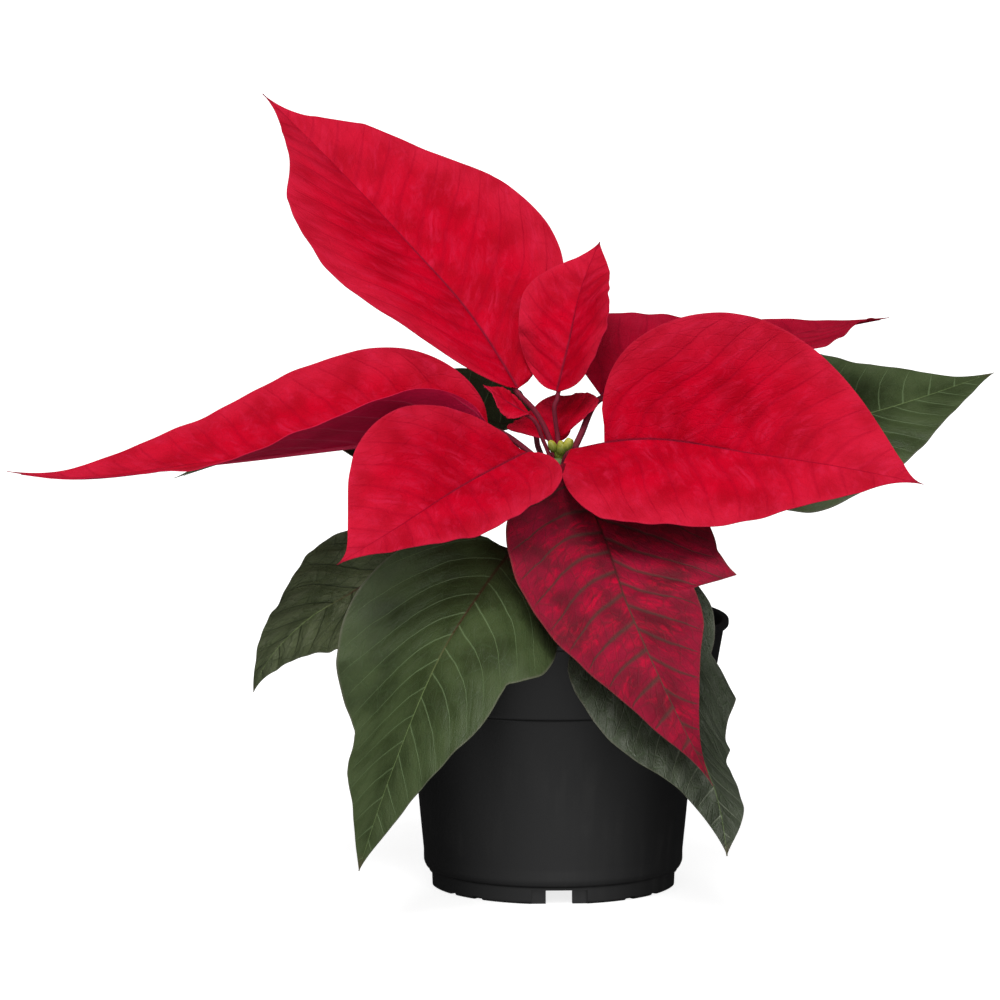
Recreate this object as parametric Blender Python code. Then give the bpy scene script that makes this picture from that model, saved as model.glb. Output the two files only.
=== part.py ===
"""A young poinsettia in a round nursery pot: pot, potting soil, stem, flower cluster, nine bracts, six leaves.

The origin is the middle of the pot's foot, on the surface it stands on. +X runs to the right of the plant's
front, -Y to its front and +Z up. Shapes are worked out in millimetres and written in metres.
"""

import math

import bmesh
import bpy
import numpy as np
from mathutils import Vector

MM = 0.001
GAP = 0.3  # clearance between pieces that touch

POT_HEIGHT = 92.0
RIM_RADIUS = 60.0
RIM_DEPTH = 2.6
RIM_LIP = 1.6
COLLAR_FOOT_Z = 65.5
COLLAR_FOOT_RADIUS = 54.2
COLLAR_TOP_RADIUS = 58.4
BODY_TOP_RADIUS = 49.3
BODY_FOOT_Z = 11.8
BODY_FOOT_RADIUS = 44.4
FOOT_RADIUS = 42.4
FOOT_Z = 6.4
POT_WALL = 1.3
FLOOR_Z = 6.6
UNDER_Z = 5.2  # how far the floor stands above the foot ring's rest, but for its middle pad
PAD_RADIUS = 11.0
POT_SEGMENTS = 40

FOOT_RING = 36.8  # inner radius of the foot ring
NOTCH_HEIGHT = 5.0
WIDE_NOTCH = 19.0
INNER_NOTCH = 9.0
NOTCH_ANGLES = (-87.5, 0, 90, 180)
SMALL_NOTCH = 4.0
DRAIN_RADIUS = 5.0
DRAIN_RING = 28.0

SOIL_TOP_Z = 80.0
SOIL_MOUND = 2.0
STEM_FOOT_Z = 48.0
STEM_TOP_Z = 147.0
STEM_RADIUS = 3.3
STEM_TOP_RADIUS = 2.5
STEM_LEAN = 2.2  # how far the top stands to the right of the foot

BLADE = 0.7  # thickness of a leaf blade
COLUMNS = 3  # strips in each half of a large blade, one fewer in a small one
SMALL_WIDTH = 20.0
NARROWEST = 0.5  # half width at a blade's base and tip
FOLD_OVER = 8.0  # a half narrower than this lies flatter
RIB_POINTS = 13

BRACT_RED = (0.62, 0.005, 0.022)
BRACT_DULL = (0.35, 0.008, 0.030)
LEAF_GREEN = (0.040, 0.065, 0.030)
POT_BLACK = (0.020, 0.020, 0.021)
SOIL_BROWN = (0.030, 0.018, 0.011)
STEM_GREEN = (0.130, 0.170, 0.060)
CYATHIA_GREEN = (0.190, 0.260, 0.030)


def half(widest, base, tip, rise, curl=0, sweep=0.0, start=0.0, lobes=(), wave=(0.8, 3, 0.0)):
    """One side of a blade. widest is the station of full width, base and tip are how full each end is.

    rise is the angle in degrees between that side and level at the base, middle and tip, curl is what the
    angle gains out to the margin, sweep leans the veins towards the tip, start is where the side begins.
    A lobe is (station, height, reach back, reach on). A wave is (height, count, phase) at the margin.
    """
    return dict(widest=widest, base=base, tip=tip, rise=rise, curl=curl, sweep=sweep, start=start,
                lobes=lobes, wave=wave)


# Each blade: half width, where its stalk leaves the stem, the stalk's points, the midrib's points and its sides.
BRACTS = {
    "bract_back_left": dict(
        width=41, height=143, stalk=[(-1, 7, 152), (-6.5, 10, 163)], radius=0.95,
        rib=[(-12, 12, 169), (-29, 25, 194), (-49, 41, 215), (-66, 53, 232), (-101, 75, 265)],
        right=half(0.30, 0.60, 1.4, (50, 35, 45), 20, 0.05, lobes=[(0.47, 1.5, 0.25, 0.20), (0.77, 3, 0.20, 0.12)]),
        left=half(0.40, 0.50, 1.6, (0, 0, 15), -15, 0.35, lobes=[(0.60, 1.6, 0.15, 0.12), (0.84, 1.6, 0.12, 0.10)])),
    "bract_centre_back": dict(
        width=19, height=145, stalk=[(1.6, 5.5, 153)], radius=0.8,
        rib=[(1, 5.5, 169), (5, 10, 184), (9, 17, 201), (16, 27, 218)],
        right=half(0.40, 0.50, 1.15, (-10, 25, -20), 0, 0.10, wave=(0.5, 2, 0.2)),
        left=half(0.50, 0.42, 1.3, (5, 30, -10), 5, 0.0, wave=(0.5, 2, 0.6))),
    "bract_small_back": dict(
        width=18, height=138, stalk=[(1.6, 7.5, 145)], radius=0.8,
        rib=[(1, 9, 151), (1, 15, 160), (1, 22, 166)],
        right=half(0.35, 0.75, 1.2, (50, 30, 30), 10, 0.10, wave=(0.3, 2, 0.0)),
        left=half(0.35, 0.80, 1.2, (0, -30, -15), 10, 0.10, wave=(0.3, 2, 0.5))),
    "bract_small_left": dict(
        width=8, height=145.5, stalk=[(-3, 0.6, 152)], radius=0.7,
        rib=[(-8, -1, 162), (-17, -1, 167), (-24, -1, 172)],
        right=half(0.45, 0.75, 1.2, (20, 15, 25), 10, 0.15, wave=(0.2, 2, 0.0)),
        left=half(0.35, 0.70, 1.2, (-25, -30, 10), 5, 0.05, wave=(0.2, 2, 0.5))),
    "bract_left": dict(
        width=36, height=141, stalk=[(-9, -1.2, 150)], radius=1.0,
        rib=[(-22, -2, 158), (-71, -6, 152), (-120, -8, 146), (-171, -6, 141), (-186, -6, 143)],
        right=half(0.30, 0.50, 1.3, (75, 27, 12), 20, -0.10),
        left=half(0.35, 0.65, 1.3, (66, 8, 12), 3, 0.0)),
    "bract_front_left": dict(
        width=34, height=143, stalk=[(-4.5, -5, 147)], radius=1.0,
        rib=[(-9, -8, 150), (-31, -36, 142), (-54, -66, 131), (-72, -82, 122)],
        right=half(0.45, 0.70, 1.35, (50, 45, -15), 10, 0.05),
        left=half(0.25, 0.75, 1.4, (10, -10, -25), 0, 0.10)),
    "bract_right": dict(
        width=46, height=144, stalk=[], radius=1.0,
        rib=[(6, -7, 151), (29, -14, 155), (68, -30, 152), (98, -44, 149), (123, -54, 145)],
        right=half(0.22, 0.45, 1.4, (-15, -35, -50), -5, -0.10),
        left=half(0.42, 0.42, 1.15, (85, 80, 20), 5, 0.0, start=0.095)),
    "bract_back_right": dict(
        width=32, height=143, stalk=[(9, 5, 154)], radius=1.15,
        rib=[(16, 12, 167), (51, 35, 176), (86, 56, 183), (118, 75, 186.5)],
        right=half(0.50, 0.75, 1.3, (20, -5, 20), 15, 0.20),
        left=half(0.22, 0.40, 1.1, (60, 18, 0), 10, -0.30)),
    "bract_front": dict(
        width=37, height=136, stalk=[], radius=1.1,
        rib=[(6, -9, 144), (15, -28, 128), (25, -66, 104), (42, -88, 69), (52, -94, 50)],
        right=half(0.30, 0.75, 1.25, (50, -10, -20), 10, -0.05),
        left=half(0.25, 0.75, 1.40, (5, 0, 15), 10, -0.05,
                  lobes=[(0.46, 8, 0.12, 0.01), (0.48, -7, 0.02, 0.12)])),
}

LEAVES = {
    "leaf_front_left": dict(
        width=40, height=112, stalk=[(-5, -11, 117)], radius=1.2,
        rib=[(-11, -20, 122), (-23, -46, 110), (-37, -66, 91), (-53, -80, 55), (-65, -86, 20)],
        right=half(0.35, 0.50, 1.0, (50, -10, 10), 20, 0.30, start=0.065, lobes=[(0.62, -3, 0.08, 0.08)]),
        left=half(0.20, 0.70, 1.2, (-50, 5, -20), -20, 0.35,
                  lobes=[(0.20, -9, 0.16, 0.16), (0.42, -6, 0.08, 0.12)])),
    "leaf_left": dict(
        width=28, height=108, stalk=[(-20, -3, 115)], radius=1.1,
        rib=[(-45, -6, 118), (-67, -10, 103), (-85, -14, 92), (-99, -18, 76), (-102, -19, 69)],
        right=half(0.40, 0.75, 1.0, (70, 15, 0), 10, 0.10),
        left=half(0.40, 0.75, 1.25, (-35, -25, -10), 10, 0.10)),
    "leaf_front_right": dict(
        width=32, height=104, stalk=[(12, -14, 112)], radius=1.2,
        rib=[(20, -29, 116), (32, -59, 96), (44, -74, 68), (54, -82, 42.5), (57, -86, 25)],
        right=half(0.40, 0.75, 1.3, (-5, -25, 10), 0, 0.10, lobes=[(0.15, -7, 0.14, 0.18)]),
        left=half(0.50, 0.45, 1.20, (40, -30, 15), 10, 0.25,
                  lobes=[(0.33, -6, 0.14, 0.10), (0.43, 7, 0.08, 0.34)])),
    "leaf_right": dict(
        width=35, height=122, stalk=[(20, 12, 134)], radius=1.2,
        rib=[(47, 30, 143), (86, 55, 149), (119, 74, 155), (156, 92, 165)],
        right=half(0.30, 0.75, 1.05, (-50, -25, -5), -10, 0.05),
        left=half(0.35, 0.75, 1.15, (65, 35, 0), 20, 0.10, lobes=[(0.80, 2, 0.10, 0.10)])),
    "leaf_back_left": dict(
        width=31, height=127, stalk=[(-8, 10, 142)], radius=1.1,
        rib=[(-22, 22, 155), (-53, 31, 154), (-94, 36, 147), (-131, 36, 135)],
        right=half(0.30, 0.85, 1.2, (70, 20, 20), 15, 0.05),
        left=half(0.30, 0.75, 1.25, (-50, 0, 30), 5, 0.15)),
    "leaf_back": dict(
        width=20, height=131, stalk=[(-1, 14, 138), (-5, 30, 147)], radius=1.0,
        rib=[(-8, 44, 153), (-22, 60, 152), (-46, 82, 168)],
        right=half(0.50, 0.75, 1.2, (20, 25, 60), 0, 0.10),
        left=half(0.40, 0.75, 1.2, (-15, -10, 0), 5, 0.10)),
}


def material(name, colour, roughness, metallic=0.0):
    made = bpy.data.materials.new(name)
    made.use_nodes = True
    shader = made.node_tree.nodes["Principled BSDF"]
    shader.inputs["Base Color"].default_value = (*colour, 1.0)
    shader.inputs["Roughness"].default_value = roughness
    shader.inputs["Metallic"].default_value = metallic
    return made


def mesh_object(name, points, faces, finish=None):
    """An object at the origin whose points are given in millimetres."""
    mesh = bpy.data.meshes.new(name)
    mesh.from_pydata([tuple(float(v) * MM for v in p) for p in points], [], faces)
    mesh.validate()
    build = bmesh.new()
    build.from_mesh(mesh)
    bmesh.ops.recalc_face_normals(build, faces=build.faces)
    build.to_mesh(mesh)
    build.free()
    made = bpy.data.objects.new(name, mesh)
    bpy.context.scene.collection.objects.link(made)
    if finish:
        mesh.materials.append(finish)
    return made


def combine(target, tool, operation, solver="EXACT"):
    """Joins or cuts one mesh by another for good, and removes the tool."""
    modifier = target.modifiers.new("combine", "BOOLEAN")
    modifier.operation = operation
    modifier.object = tool
    modifier.solver = solver
    bpy.context.view_layer.update()
    graph = bpy.context.evaluated_depsgraph_get()
    result = bpy.data.meshes.new_from_object(target.evaluated_get(graph))
    target.modifiers.clear()
    target.data = result
    bpy.data.objects.remove(tool)


def turned(profile, segments, name, finish=None):
    """A closed solid turned about Z from (radius, height) points, outer side first."""
    points = []
    faces = []
    rings = []
    for radius, height in profile:
        if radius == 0:
            rings.append([len(points)])
            points.append((0, 0, height))
            continue
        rings.append(list(range(len(points), len(points) + segments)))
        for step in range(segments):
            angle = 2 * math.pi * step / segments
            points.append((radius * math.cos(angle), radius * math.sin(angle), height))
    for low, high in zip(rings, rings[1:] + rings[:1]):
        for step in range(segments):
            after = (step + 1) % segments
            corners = [low[step % len(low)], low[after % len(low)], high[after % len(high)], high[step % len(high)]]
            corners = list(dict.fromkeys(corners))
            if len(corners) > 2:
                faces.append(corners)
    return mesh_object(name, points, faces, finish)


def block(size, centre, angle=0.0):
    """A cutter box. size is (along the radius, across, up); angle turns it about Z in degrees."""
    turn = math.radians(angle)
    points = []
    for dx in (-0.5, 0.5):
        for dy in (-0.5, 0.5):
            for dz in (-0.5, 0.5):
                x = centre[0] + dx * size[0]
                y = centre[1] + dy * size[1]
                points.append((x * math.cos(turn) - y * math.sin(turn),
                               x * math.sin(turn) + y * math.cos(turn), centre[2] + dz * size[2]))
    faces = [(0, 1, 3, 2), (4, 6, 7, 5), (0, 4, 5, 1), (2, 3, 7, 6), (0, 2, 6, 4), (1, 5, 7, 3)]
    return mesh_object("cutter", points, faces)


def rod(radius, low, high, centre, segments=16):
    made = turned([(0, low), (radius, low), (radius, high), (0, high)], segments, "cutter")
    for vertex in made.data.vertices:
        vertex.co.x += centre[0] * MM
        vertex.co.y += centre[1] * MM
    return made


def pot_profile():
    """The pot's wall, up the outside and down the inside, with its rolled rim and stacking step."""
    outside = [
        (0, 0), (PAD_RADIUS, 0), (PAD_RADIUS + 1.2, UNDER_Z), (FOOT_RING, UNDER_Z), (FOOT_RING + 0.6, 0),
        (FOOT_RADIUS - 0.8, 0), (FOOT_RADIUS, 0.8), (FOOT_RADIUS + 0.2, FOOT_Z - 0.6), (FOOT_RADIUS + 1.2, FOOT_Z),
        (FOOT_RADIUS + 2.0, FOOT_Z + 1.8), (BODY_FOOT_RADIUS, BODY_FOOT_Z), (BODY_FOOT_RADIUS + 1.2, 24.0),
        (BODY_TOP_RADIUS, COLLAR_FOOT_Z - 1.2), (COLLAR_FOOT_RADIUS - 0.5, COLLAR_FOOT_Z - 0.6),
        (COLLAR_FOOT_RADIUS, COLLAR_FOOT_Z), (COLLAR_TOP_RADIUS, POT_HEIGHT - RIM_DEPTH),
        (RIM_RADIUS - 0.5, POT_HEIGHT - RIM_DEPTH), (RIM_RADIUS, POT_HEIGHT - RIM_DEPTH + 0.5),
        (RIM_RADIUS, POT_HEIGHT - 0.5), (RIM_RADIUS - 0.5, POT_HEIGHT),
    ]
    inside = [
        (RIM_RADIUS - RIM_LIP - 0.6, POT_HEIGHT), (COLLAR_TOP_RADIUS - POT_WALL, POT_HEIGHT - RIM_DEPTH),
        (COLLAR_FOOT_RADIUS - POT_WALL, COLLAR_FOOT_Z + 1.0), (BODY_TOP_RADIUS - POT_WALL, COLLAR_FOOT_Z),
        (BODY_FOOT_RADIUS - POT_WALL, BODY_FOOT_Z), (BODY_FOOT_RADIUS - 3.4, FLOOR_Z), (0, FLOOR_Z),
    ]
    return outside + inside


def build_pot(finish):
    """A moulded pot with notches in its foot ring and drain holes through its floor."""
    pot = turned(pot_profile(), POT_SEGMENTS, "pot", finish)
    for angle in NOTCH_ANGLES:
        outer = block((5, WIDE_NOTCH, 2 * NOTCH_HEIGHT), (FOOT_RADIUS, 0, 0), angle)
        combine(pot, outer, "DIFFERENCE")
        inner = block((9, INNER_NOTCH, 2 * NOTCH_HEIGHT - 1), (FOOT_RADIUS - 3.5, 0, 0), angle)
        combine(pot, inner, "DIFFERENCE")
    for angle in (-128, -52, -35, -145, 35, 52, 128, 145):
        cutter = block((7, SMALL_NOTCH, 2.4), (FOOT_RADIUS + 0.5, 0, 0), angle)
        combine(pot, cutter, "DIFFERENCE")
    for step in range(8):
        angle = math.radians(22.5 + 45 * step)
        centre = (DRAIN_RING * math.cos(angle), DRAIN_RING * math.sin(angle))
        combine(pot, rod(DRAIN_RADIUS, 0.2, FLOOR_Z + 2, centre), "DIFFERENCE")
    return pot


def stem_centre(z):
    """The stem's axis leans a little from the soil to the top."""
    share = max(0.0, (z - SOIL_TOP_Z) / (STEM_TOP_Z - SOIL_TOP_Z))
    return STEM_LEAN * share, 0.0


def stem_radius(z):
    share = (z - STEM_FOOT_Z) / (STEM_TOP_Z - STEM_FOOT_Z)
    return STEM_RADIUS + (STEM_TOP_RADIUS - STEM_RADIUS) * share


def build_soil(finish):
    """The root ball fills the pot and has a plain hole for the stem."""
    clear = POT_WALL + GAP
    hole = STEM_RADIUS + GAP
    profile = [
        (0, FLOOR_Z + GAP), (BODY_FOOT_RADIUS - 4.2, FLOOR_Z + GAP), (BODY_FOOT_RADIUS - clear - 0.3, BODY_FOOT_Z + 1),
        (BODY_TOP_RADIUS - clear - 0.2, COLLAR_FOOT_Z + 0.6), (COLLAR_FOOT_RADIUS - clear - 0.4, COLLAR_FOOT_Z + 2),
        (COLLAR_FOOT_RADIUS - clear + 1.4, SOIL_TOP_Z - 1), (COLLAR_FOOT_RADIUS - clear - 6, SOIL_TOP_Z),
        (24, SOIL_TOP_Z + SOIL_MOUND * 0.7), (hole + 2, SOIL_TOP_Z + SOIL_MOUND), (hole, SOIL_TOP_Z + SOIL_MOUND),
        (hole, STEM_FOOT_Z - GAP), (0, STEM_FOOT_Z - GAP),
    ]
    return turned(profile, 32, "potting_soil", finish)


def build_stem(finish):
    heights = [STEM_FOOT_Z, SOIL_TOP_Z, 100, 120, STEM_TOP_Z - 1, STEM_TOP_Z]
    centres = [(*stem_centre(z), z) for z in heights]
    radii = [stem_radius(z) for z in heights]
    radii[-1] -= 0.9
    points, faces = rings_along(centres, radii, [(0, 0, 1)] * len(heights), 14)
    return mesh_object("stem", points, faces, finish)


def rings_along(centres, radii, directions, sides):
    """Points and faces of a tube with flat ends, through given centres."""
    points = []
    for centre, radius, direction in zip(centres, radii, directions):
        along = np.array(direction, float)
        along /= np.linalg.norm(along)
        guide = np.array((0.0, 0.0, 1.0)) if abs(along[2]) < 0.95 else np.array((1.0, 0.0, 0.0))
        across = np.cross(along, guide)
        across /= np.linalg.norm(across)
        up = np.cross(across, along)
        for step in range(sides):
            angle = 2 * math.pi * (step + 0.5) / sides
            points.append(np.array(centre) + radius * (math.cos(angle) * across + math.sin(angle) * up))
    faces = [list(range(sides))[::-1]]
    for ring in range(len(centres) - 1):
        first = ring * sides
        for step in range(sides):
            after = (step + 1) % sides
            faces.append([first + step, first + after, first + sides + after, first + sides + step])
    faces.append(list(range(len(points) - sides, len(points))))
    return points, faces


def smooth_path(points, stations):
    """Places and directions on a smooth curve through the points; stations run from 0 to 1."""
    points = np.array(points, float)
    knots = np.concatenate([[0.0], np.cumsum(np.linalg.norm(np.diff(points, axis=0), axis=1))])
    knots /= knots[-1]
    chords = np.diff(points, axis=0) / np.diff(knots)[:, None]
    slopes = np.zeros_like(points)
    gaps = np.diff(knots)
    for i in range(1, len(points) - 1):
        slopes[i] = (chords[i - 1] * gaps[i] + chords[i] * gaps[i - 1]) / (gaps[i] + gaps[i - 1])
    slopes[0] = 1.5 * chords[0] - 0.5 * slopes[1] if len(points) > 2 else chords[0]
    slopes[-1] = 1.5 * chords[-1] - 0.5 * slopes[-2] if len(points) > 2 else chords[-1]
    places = []
    directions = []
    for station in stations:
        i = min(max(int(np.searchsorted(knots, station, side="right")) - 1, 0), len(gaps) - 1)
        t = (station - knots[i]) / gaps[i]
        rise = gaps[i] * slopes[i]
        fall = gaps[i] * slopes[i + 1]
        places.append((2 * t**3 - 3 * t**2 + 1) * points[i] + (t**3 - 2 * t**2 + t) * rise
                      + (3 * t**2 - 2 * t**3) * points[i + 1] + (t**3 - t**2) * fall)
        direction = ((6 * t**2 - 6 * t) * (points[i] - points[i + 1]) + (3 * t**2 - 4 * t + 1) * rise
                     + (3 * t**2 - 2 * t) * fall)
        directions.append(direction / np.linalg.norm(direction))
    return np.array(places), np.array(directions)


def half_width(side, width, station):
    """Half width of a blade at a station from 0 at its base to 1 at its tip."""
    start = side["start"]
    if station <= side["widest"]:
        share = min(max((station - start) / (side["widest"] - start), 0.0), 1.0)
        wide = math.sin(math.pi / 2 * share) ** side["base"]
    else:
        share = (station - side["widest"]) / (1 - side["widest"])
        wide = max(math.cos(math.pi / 2 * share), 0.0) ** side["tip"]
    wide *= width
    for centre, height, back, on in side["lobes"]:
        away = abs(station - centre) / (back if station < centre else on)
        wide += height * max(1 - away, 0.0) ** 1.4
    return max(wide, NARROWEST)


def side_point(side, width, station, out, place, along, sign):
    """A point of the blade's middle surface, out of the way from the midrib to the margin."""
    across = np.cross(along, (0.0, 0.0, 1.0))
    across /= np.linalg.norm(across)
    up = np.cross(across, along)
    wide = half_width(side, width, station)
    base, middle, tip = side["rise"]
    angle = base * (1 - station) * (1 - 2 * station) + 4 * middle * station * (1 - station)
    angle += tip * station * (2 * station - 1)
    angle = math.radians(angle) * min(1.0, wide / FOLD_OVER)
    curl = math.radians(side["curl"] or 0.1)
    flat = wide / curl * (math.sin(angle + curl * out) - math.sin(angle))
    lift = wide / curl * (math.cos(angle) - math.cos(angle + curl * out))
    high, count, phase = side["wave"]
    ripple = high * out**2 * math.sin(2 * math.pi * (count * station + phase)) * math.sin(math.pi * station)
    leaning = angle + curl * out
    flat -= math.sin(leaning) * ripple
    lift += math.cos(leaning) * ripple
    return place + sign * flat * across + lift * up + side["sweep"] * wide * out**2 * along


def blade_stations(spec, spacing, most):
    """Even stations along a blade, with one more at the crest and the ends of each lobe."""
    length = np.linalg.norm(np.diff(np.array(spec["rib"], float), axis=0), axis=1).sum()
    steps = max(7, min(most, round(length / spacing)))
    stations = set(np.linspace(0, 1, steps).tolist())
    for side in (spec["left"], spec["right"]):
        for centre, _, back, on in side["lobes"]:
            for wanted in (centre - back, centre, centre + on):
                nearest = min(stations, key=lambda station: abs(station - wanted))
                if abs(nearest - wanted) > 0.3 / steps:
                    stations.add(wanted)
    return sorted(stations)


def blade_grid(spec, stations):
    """The middle surface: one row for each station, from the left margin over the midrib to the right one."""
    places, directions = smooth_path(spec["rib"], stations)
    columns = COLUMNS if spec["width"] > SMALL_WIDTH else COLUMNS - 1
    rows = []
    for station, place, along in zip(stations, places, directions):
        row = [side_point(spec["left"], spec["width"], station, out / columns, place, along, -1)
               for out in range(columns, 0, -1)]
        row.append(place)
        row += [side_point(spec["right"], spec["width"], station, out / columns, place, along, 1)
                for out in range(1, columns + 1)]
        rows.append(row)
    return np.array(rows)


def thick_sheet(name, grid, thickness):
    """A closed sheet over a grid of points, split into triangles alike on both faces."""
    along = np.gradient(grid, axis=0)
    across = np.gradient(grid, axis=1)
    normal = np.cross(across, along)
    normal /= np.linalg.norm(normal, axis=2)[:, :, None]
    top = (grid + normal * thickness / 2).reshape(-1, 3)
    under = (grid - normal * thickness / 2).reshape(-1, 3)
    rows, columns = grid.shape[:2]
    count = rows * columns
    faces = []
    for row in range(rows - 1):
        for column in range(columns - 1):
            a = row * columns + column
            b, c, d = a + 1, a + columns + 1, a + columns
            diagonal = [(a, b, c), (a, c, d)] if column >= columns // 2 else [(a, b, d), (b, c, d)]
            for face in diagonal:
                faces.append(face)
                faces.append(tuple(corner + count for corner in face[::-1]))
    edge = [row * columns for row in range(rows)]
    edge += [(rows - 1) * columns + column for column in range(1, columns)]
    edge += [row * columns + columns - 1 for row in range(rows - 2, -1, -1)]
    edge += [column for column in range(columns - 2, 0, -1)]
    for first, after in zip(edge, edge[1:] + edge[:1]):
        faces.append((first, after, after + count))
        faces.append((first, after + count, first + count))
    return mesh_object(name, np.concatenate([top, under]), faces)


def stalk_tube(spec):
    """The stalk from beside the stem, running on under the blade as its midrib."""
    first = spec["stalk"][0] if spec["stalk"] else spec["rib"][0]
    x, y = stem_centre(spec["height"])
    away = np.array((first[0] - x, first[1] - y, 0.0))
    away /= np.linalg.norm(away)
    root = np.array((x, y, spec["height"])) + away * (stem_radius(spec["height"]) + GAP)
    rib_places = smooth_path(spec["rib"], np.linspace(0, 1, RIB_POINTS))[0]
    route = [root, *spec["stalk"], *rib_places]
    lengths = np.linalg.norm(np.diff(np.array(route, float), axis=0), axis=1)
    blade_at = lengths[: len(spec["stalk"]) + 1].sum() / lengths.sum()
    reach = blade_at + 0.8 * (1 - blade_at)
    stalk_steps = 3 + 2 * len(spec["stalk"])
    stations = np.concatenate([np.linspace(0, blade_at, stalk_steps), np.linspace(blade_at, reach, 7)[1:]])
    places, directions = smooth_path(route, stations)
    directions[0] = away
    radii = []
    centres = []
    for station, place, along in zip(stations, places, directions):
        on_blade = max(0.0, (station - blade_at) / (reach - blade_at))
        radius = spec["radius"] * (1 - 0.6 * on_blade)
        across = np.cross(along, (0.0, 0.0, 1.0))
        up = np.cross(across / np.linalg.norm(across), along)
        sunk = (radius - 0.15) * min(1.0, station / blade_at)
        radii.append(radius)
        centres.append(place - up * sunk)
    points, faces = rings_along(centres, radii, directions, 6)
    return mesh_object("stalk", points, faces)


def build_blade(name, spec, finish):
    """A leaf or bract: its blade with the stalk and midrib joined on."""
    leaf = thick_sheet(name, blade_grid(spec, blade_stations(spec, 8, 17)), BLADE)
    leaf.data.materials.append(finish)
    combine(leaf, stalk_tube(spec), "UNION", "MANIFOLD")
    return leaf


def bud(centre, radius, stretch, lean, name="bud"):
    """A small egg-shaped solid, stretched along a leaning axis."""
    build = bmesh.new()
    bmesh.ops.create_uvsphere(build, u_segments=8, v_segments=5, radius=radius * MM)
    axis = Vector(lean).normalized()
    turn = Vector((0, 0, 1)).rotation_difference(axis)
    for vertex in build.verts:
        vertex.co.z *= stretch
        vertex.co.rotate(turn)
        vertex.co += Vector(centre) * MM
    mesh = bpy.data.meshes.new(name)
    build.to_mesh(mesh)
    build.free()
    made = bpy.data.objects.new(name, mesh)
    bpy.context.scene.collection.objects.link(made)
    return made


def build_cyathia(finish):
    """The true flowers: a few green cups and buds on a short receptacle above the stem's top."""
    foot = STEM_TOP_Z + GAP
    x = stem_centre(STEM_TOP_Z)[0]
    cluster = turned([(0, foot), (1.7, foot), (2.1, foot + 1.2), (1.6, foot + 2.6), (0, foot + 3.0)], 12, "cyathia", finish)
    for vertex in cluster.data.vertices:
        vertex.co.x += x * MM
    buds = [
        ((x + 0.4, -1.4, foot + 2.5), 1.7, 1.2, (0.1, -0.5, 1)),
        ((x - 2.6, -0.6, foot + 3.6), 1.5, 1.5, (-0.5, -0.1, 1)),
        ((x + 2.7, -0.2, foot + 4.2), 1.7, 1.6, (0.45, 0.0, 1)),
        ((x + 0.3, 1.0, foot + 3.4), 1.4, 1.4, (0.0, 0.2, 1)),
    ]
    stalks = [((x, 0, foot + 1.5), 1.0, (x - 2.4, -0.6, foot + 3.4)), ((x, 0, foot + 1.5), 1.0, (x + 2.5, -0.2, foot + 3.8))]
    for low, radius, high in stalks:
        direction = np.subtract(high, low)
        points, faces = rings_along([low, high], [radius, radius], [direction, direction], 6)
        combine(cluster, mesh_object("stalk", points, faces), "UNION")
    for centre, radius, stretch, lean in buds:
        combine(cluster, bud(centre, radius, stretch, lean), "UNION")
    return cluster


def smooth_shading():
    for made in bpy.context.scene.objects:
        made.data.shade_smooth()
        made.data.set_sharp_from_angle(angle=math.radians(40))


def main():
    for old in list(bpy.data.objects):
        bpy.data.objects.remove(old)
    red = material("bract_red", BRACT_RED, 0.45)
    dull = material("bract_dull", BRACT_DULL, 0.5)
    green = material("leaf_green", LEAF_GREEN, 0.5)
    build_pot(material("pot_black", POT_BLACK, 0.4))
    build_soil(material("potting_soil", SOIL_BROWN, 0.95))
    build_stem(material("stem_green", STEM_GREEN, 0.6))
    build_cyathia(material("cyathia_green", CYATHIA_GREEN, 0.5))
    for name, spec in BRACTS.items():
        build_blade(name, spec, dull if name in ("bract_front", "bract_back_right") else red)
    for name, spec in LEAVES.items():
        build_blade(name, spec, green)
    smooth_shading()


main()
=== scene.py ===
"""A young poinsettia in a black nursery pot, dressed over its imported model.

Lengths are worked out in millimetres from the middle of the pot's foot. +Z is up, -Y is the front, and +X is
to the right seen from the front.
"""

import math

import bpy
import numpy as np
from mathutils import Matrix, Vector


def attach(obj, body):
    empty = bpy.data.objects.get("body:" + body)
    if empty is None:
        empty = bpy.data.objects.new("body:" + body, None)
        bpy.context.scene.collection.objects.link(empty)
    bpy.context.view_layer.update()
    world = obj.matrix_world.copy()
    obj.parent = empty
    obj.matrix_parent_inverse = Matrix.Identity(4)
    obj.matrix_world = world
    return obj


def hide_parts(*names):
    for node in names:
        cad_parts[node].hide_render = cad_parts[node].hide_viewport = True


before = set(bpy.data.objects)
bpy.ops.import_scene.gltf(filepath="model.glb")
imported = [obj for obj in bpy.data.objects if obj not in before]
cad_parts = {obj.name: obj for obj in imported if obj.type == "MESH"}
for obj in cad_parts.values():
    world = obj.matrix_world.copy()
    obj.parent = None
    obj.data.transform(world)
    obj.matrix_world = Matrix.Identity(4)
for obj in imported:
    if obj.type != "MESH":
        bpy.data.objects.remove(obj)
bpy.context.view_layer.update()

# The studio: a white sweep under the pot, a large soft lamp high at the front left, a weaker one low at the
# front, and surroundings that grow dimmer towards the back. Reflections see them darker still, so that the
# black pot keeps dark sides.
MM = 0.001
scene = bpy.context.scene
scene.view_settings.view_transform = "Standard"

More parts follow.
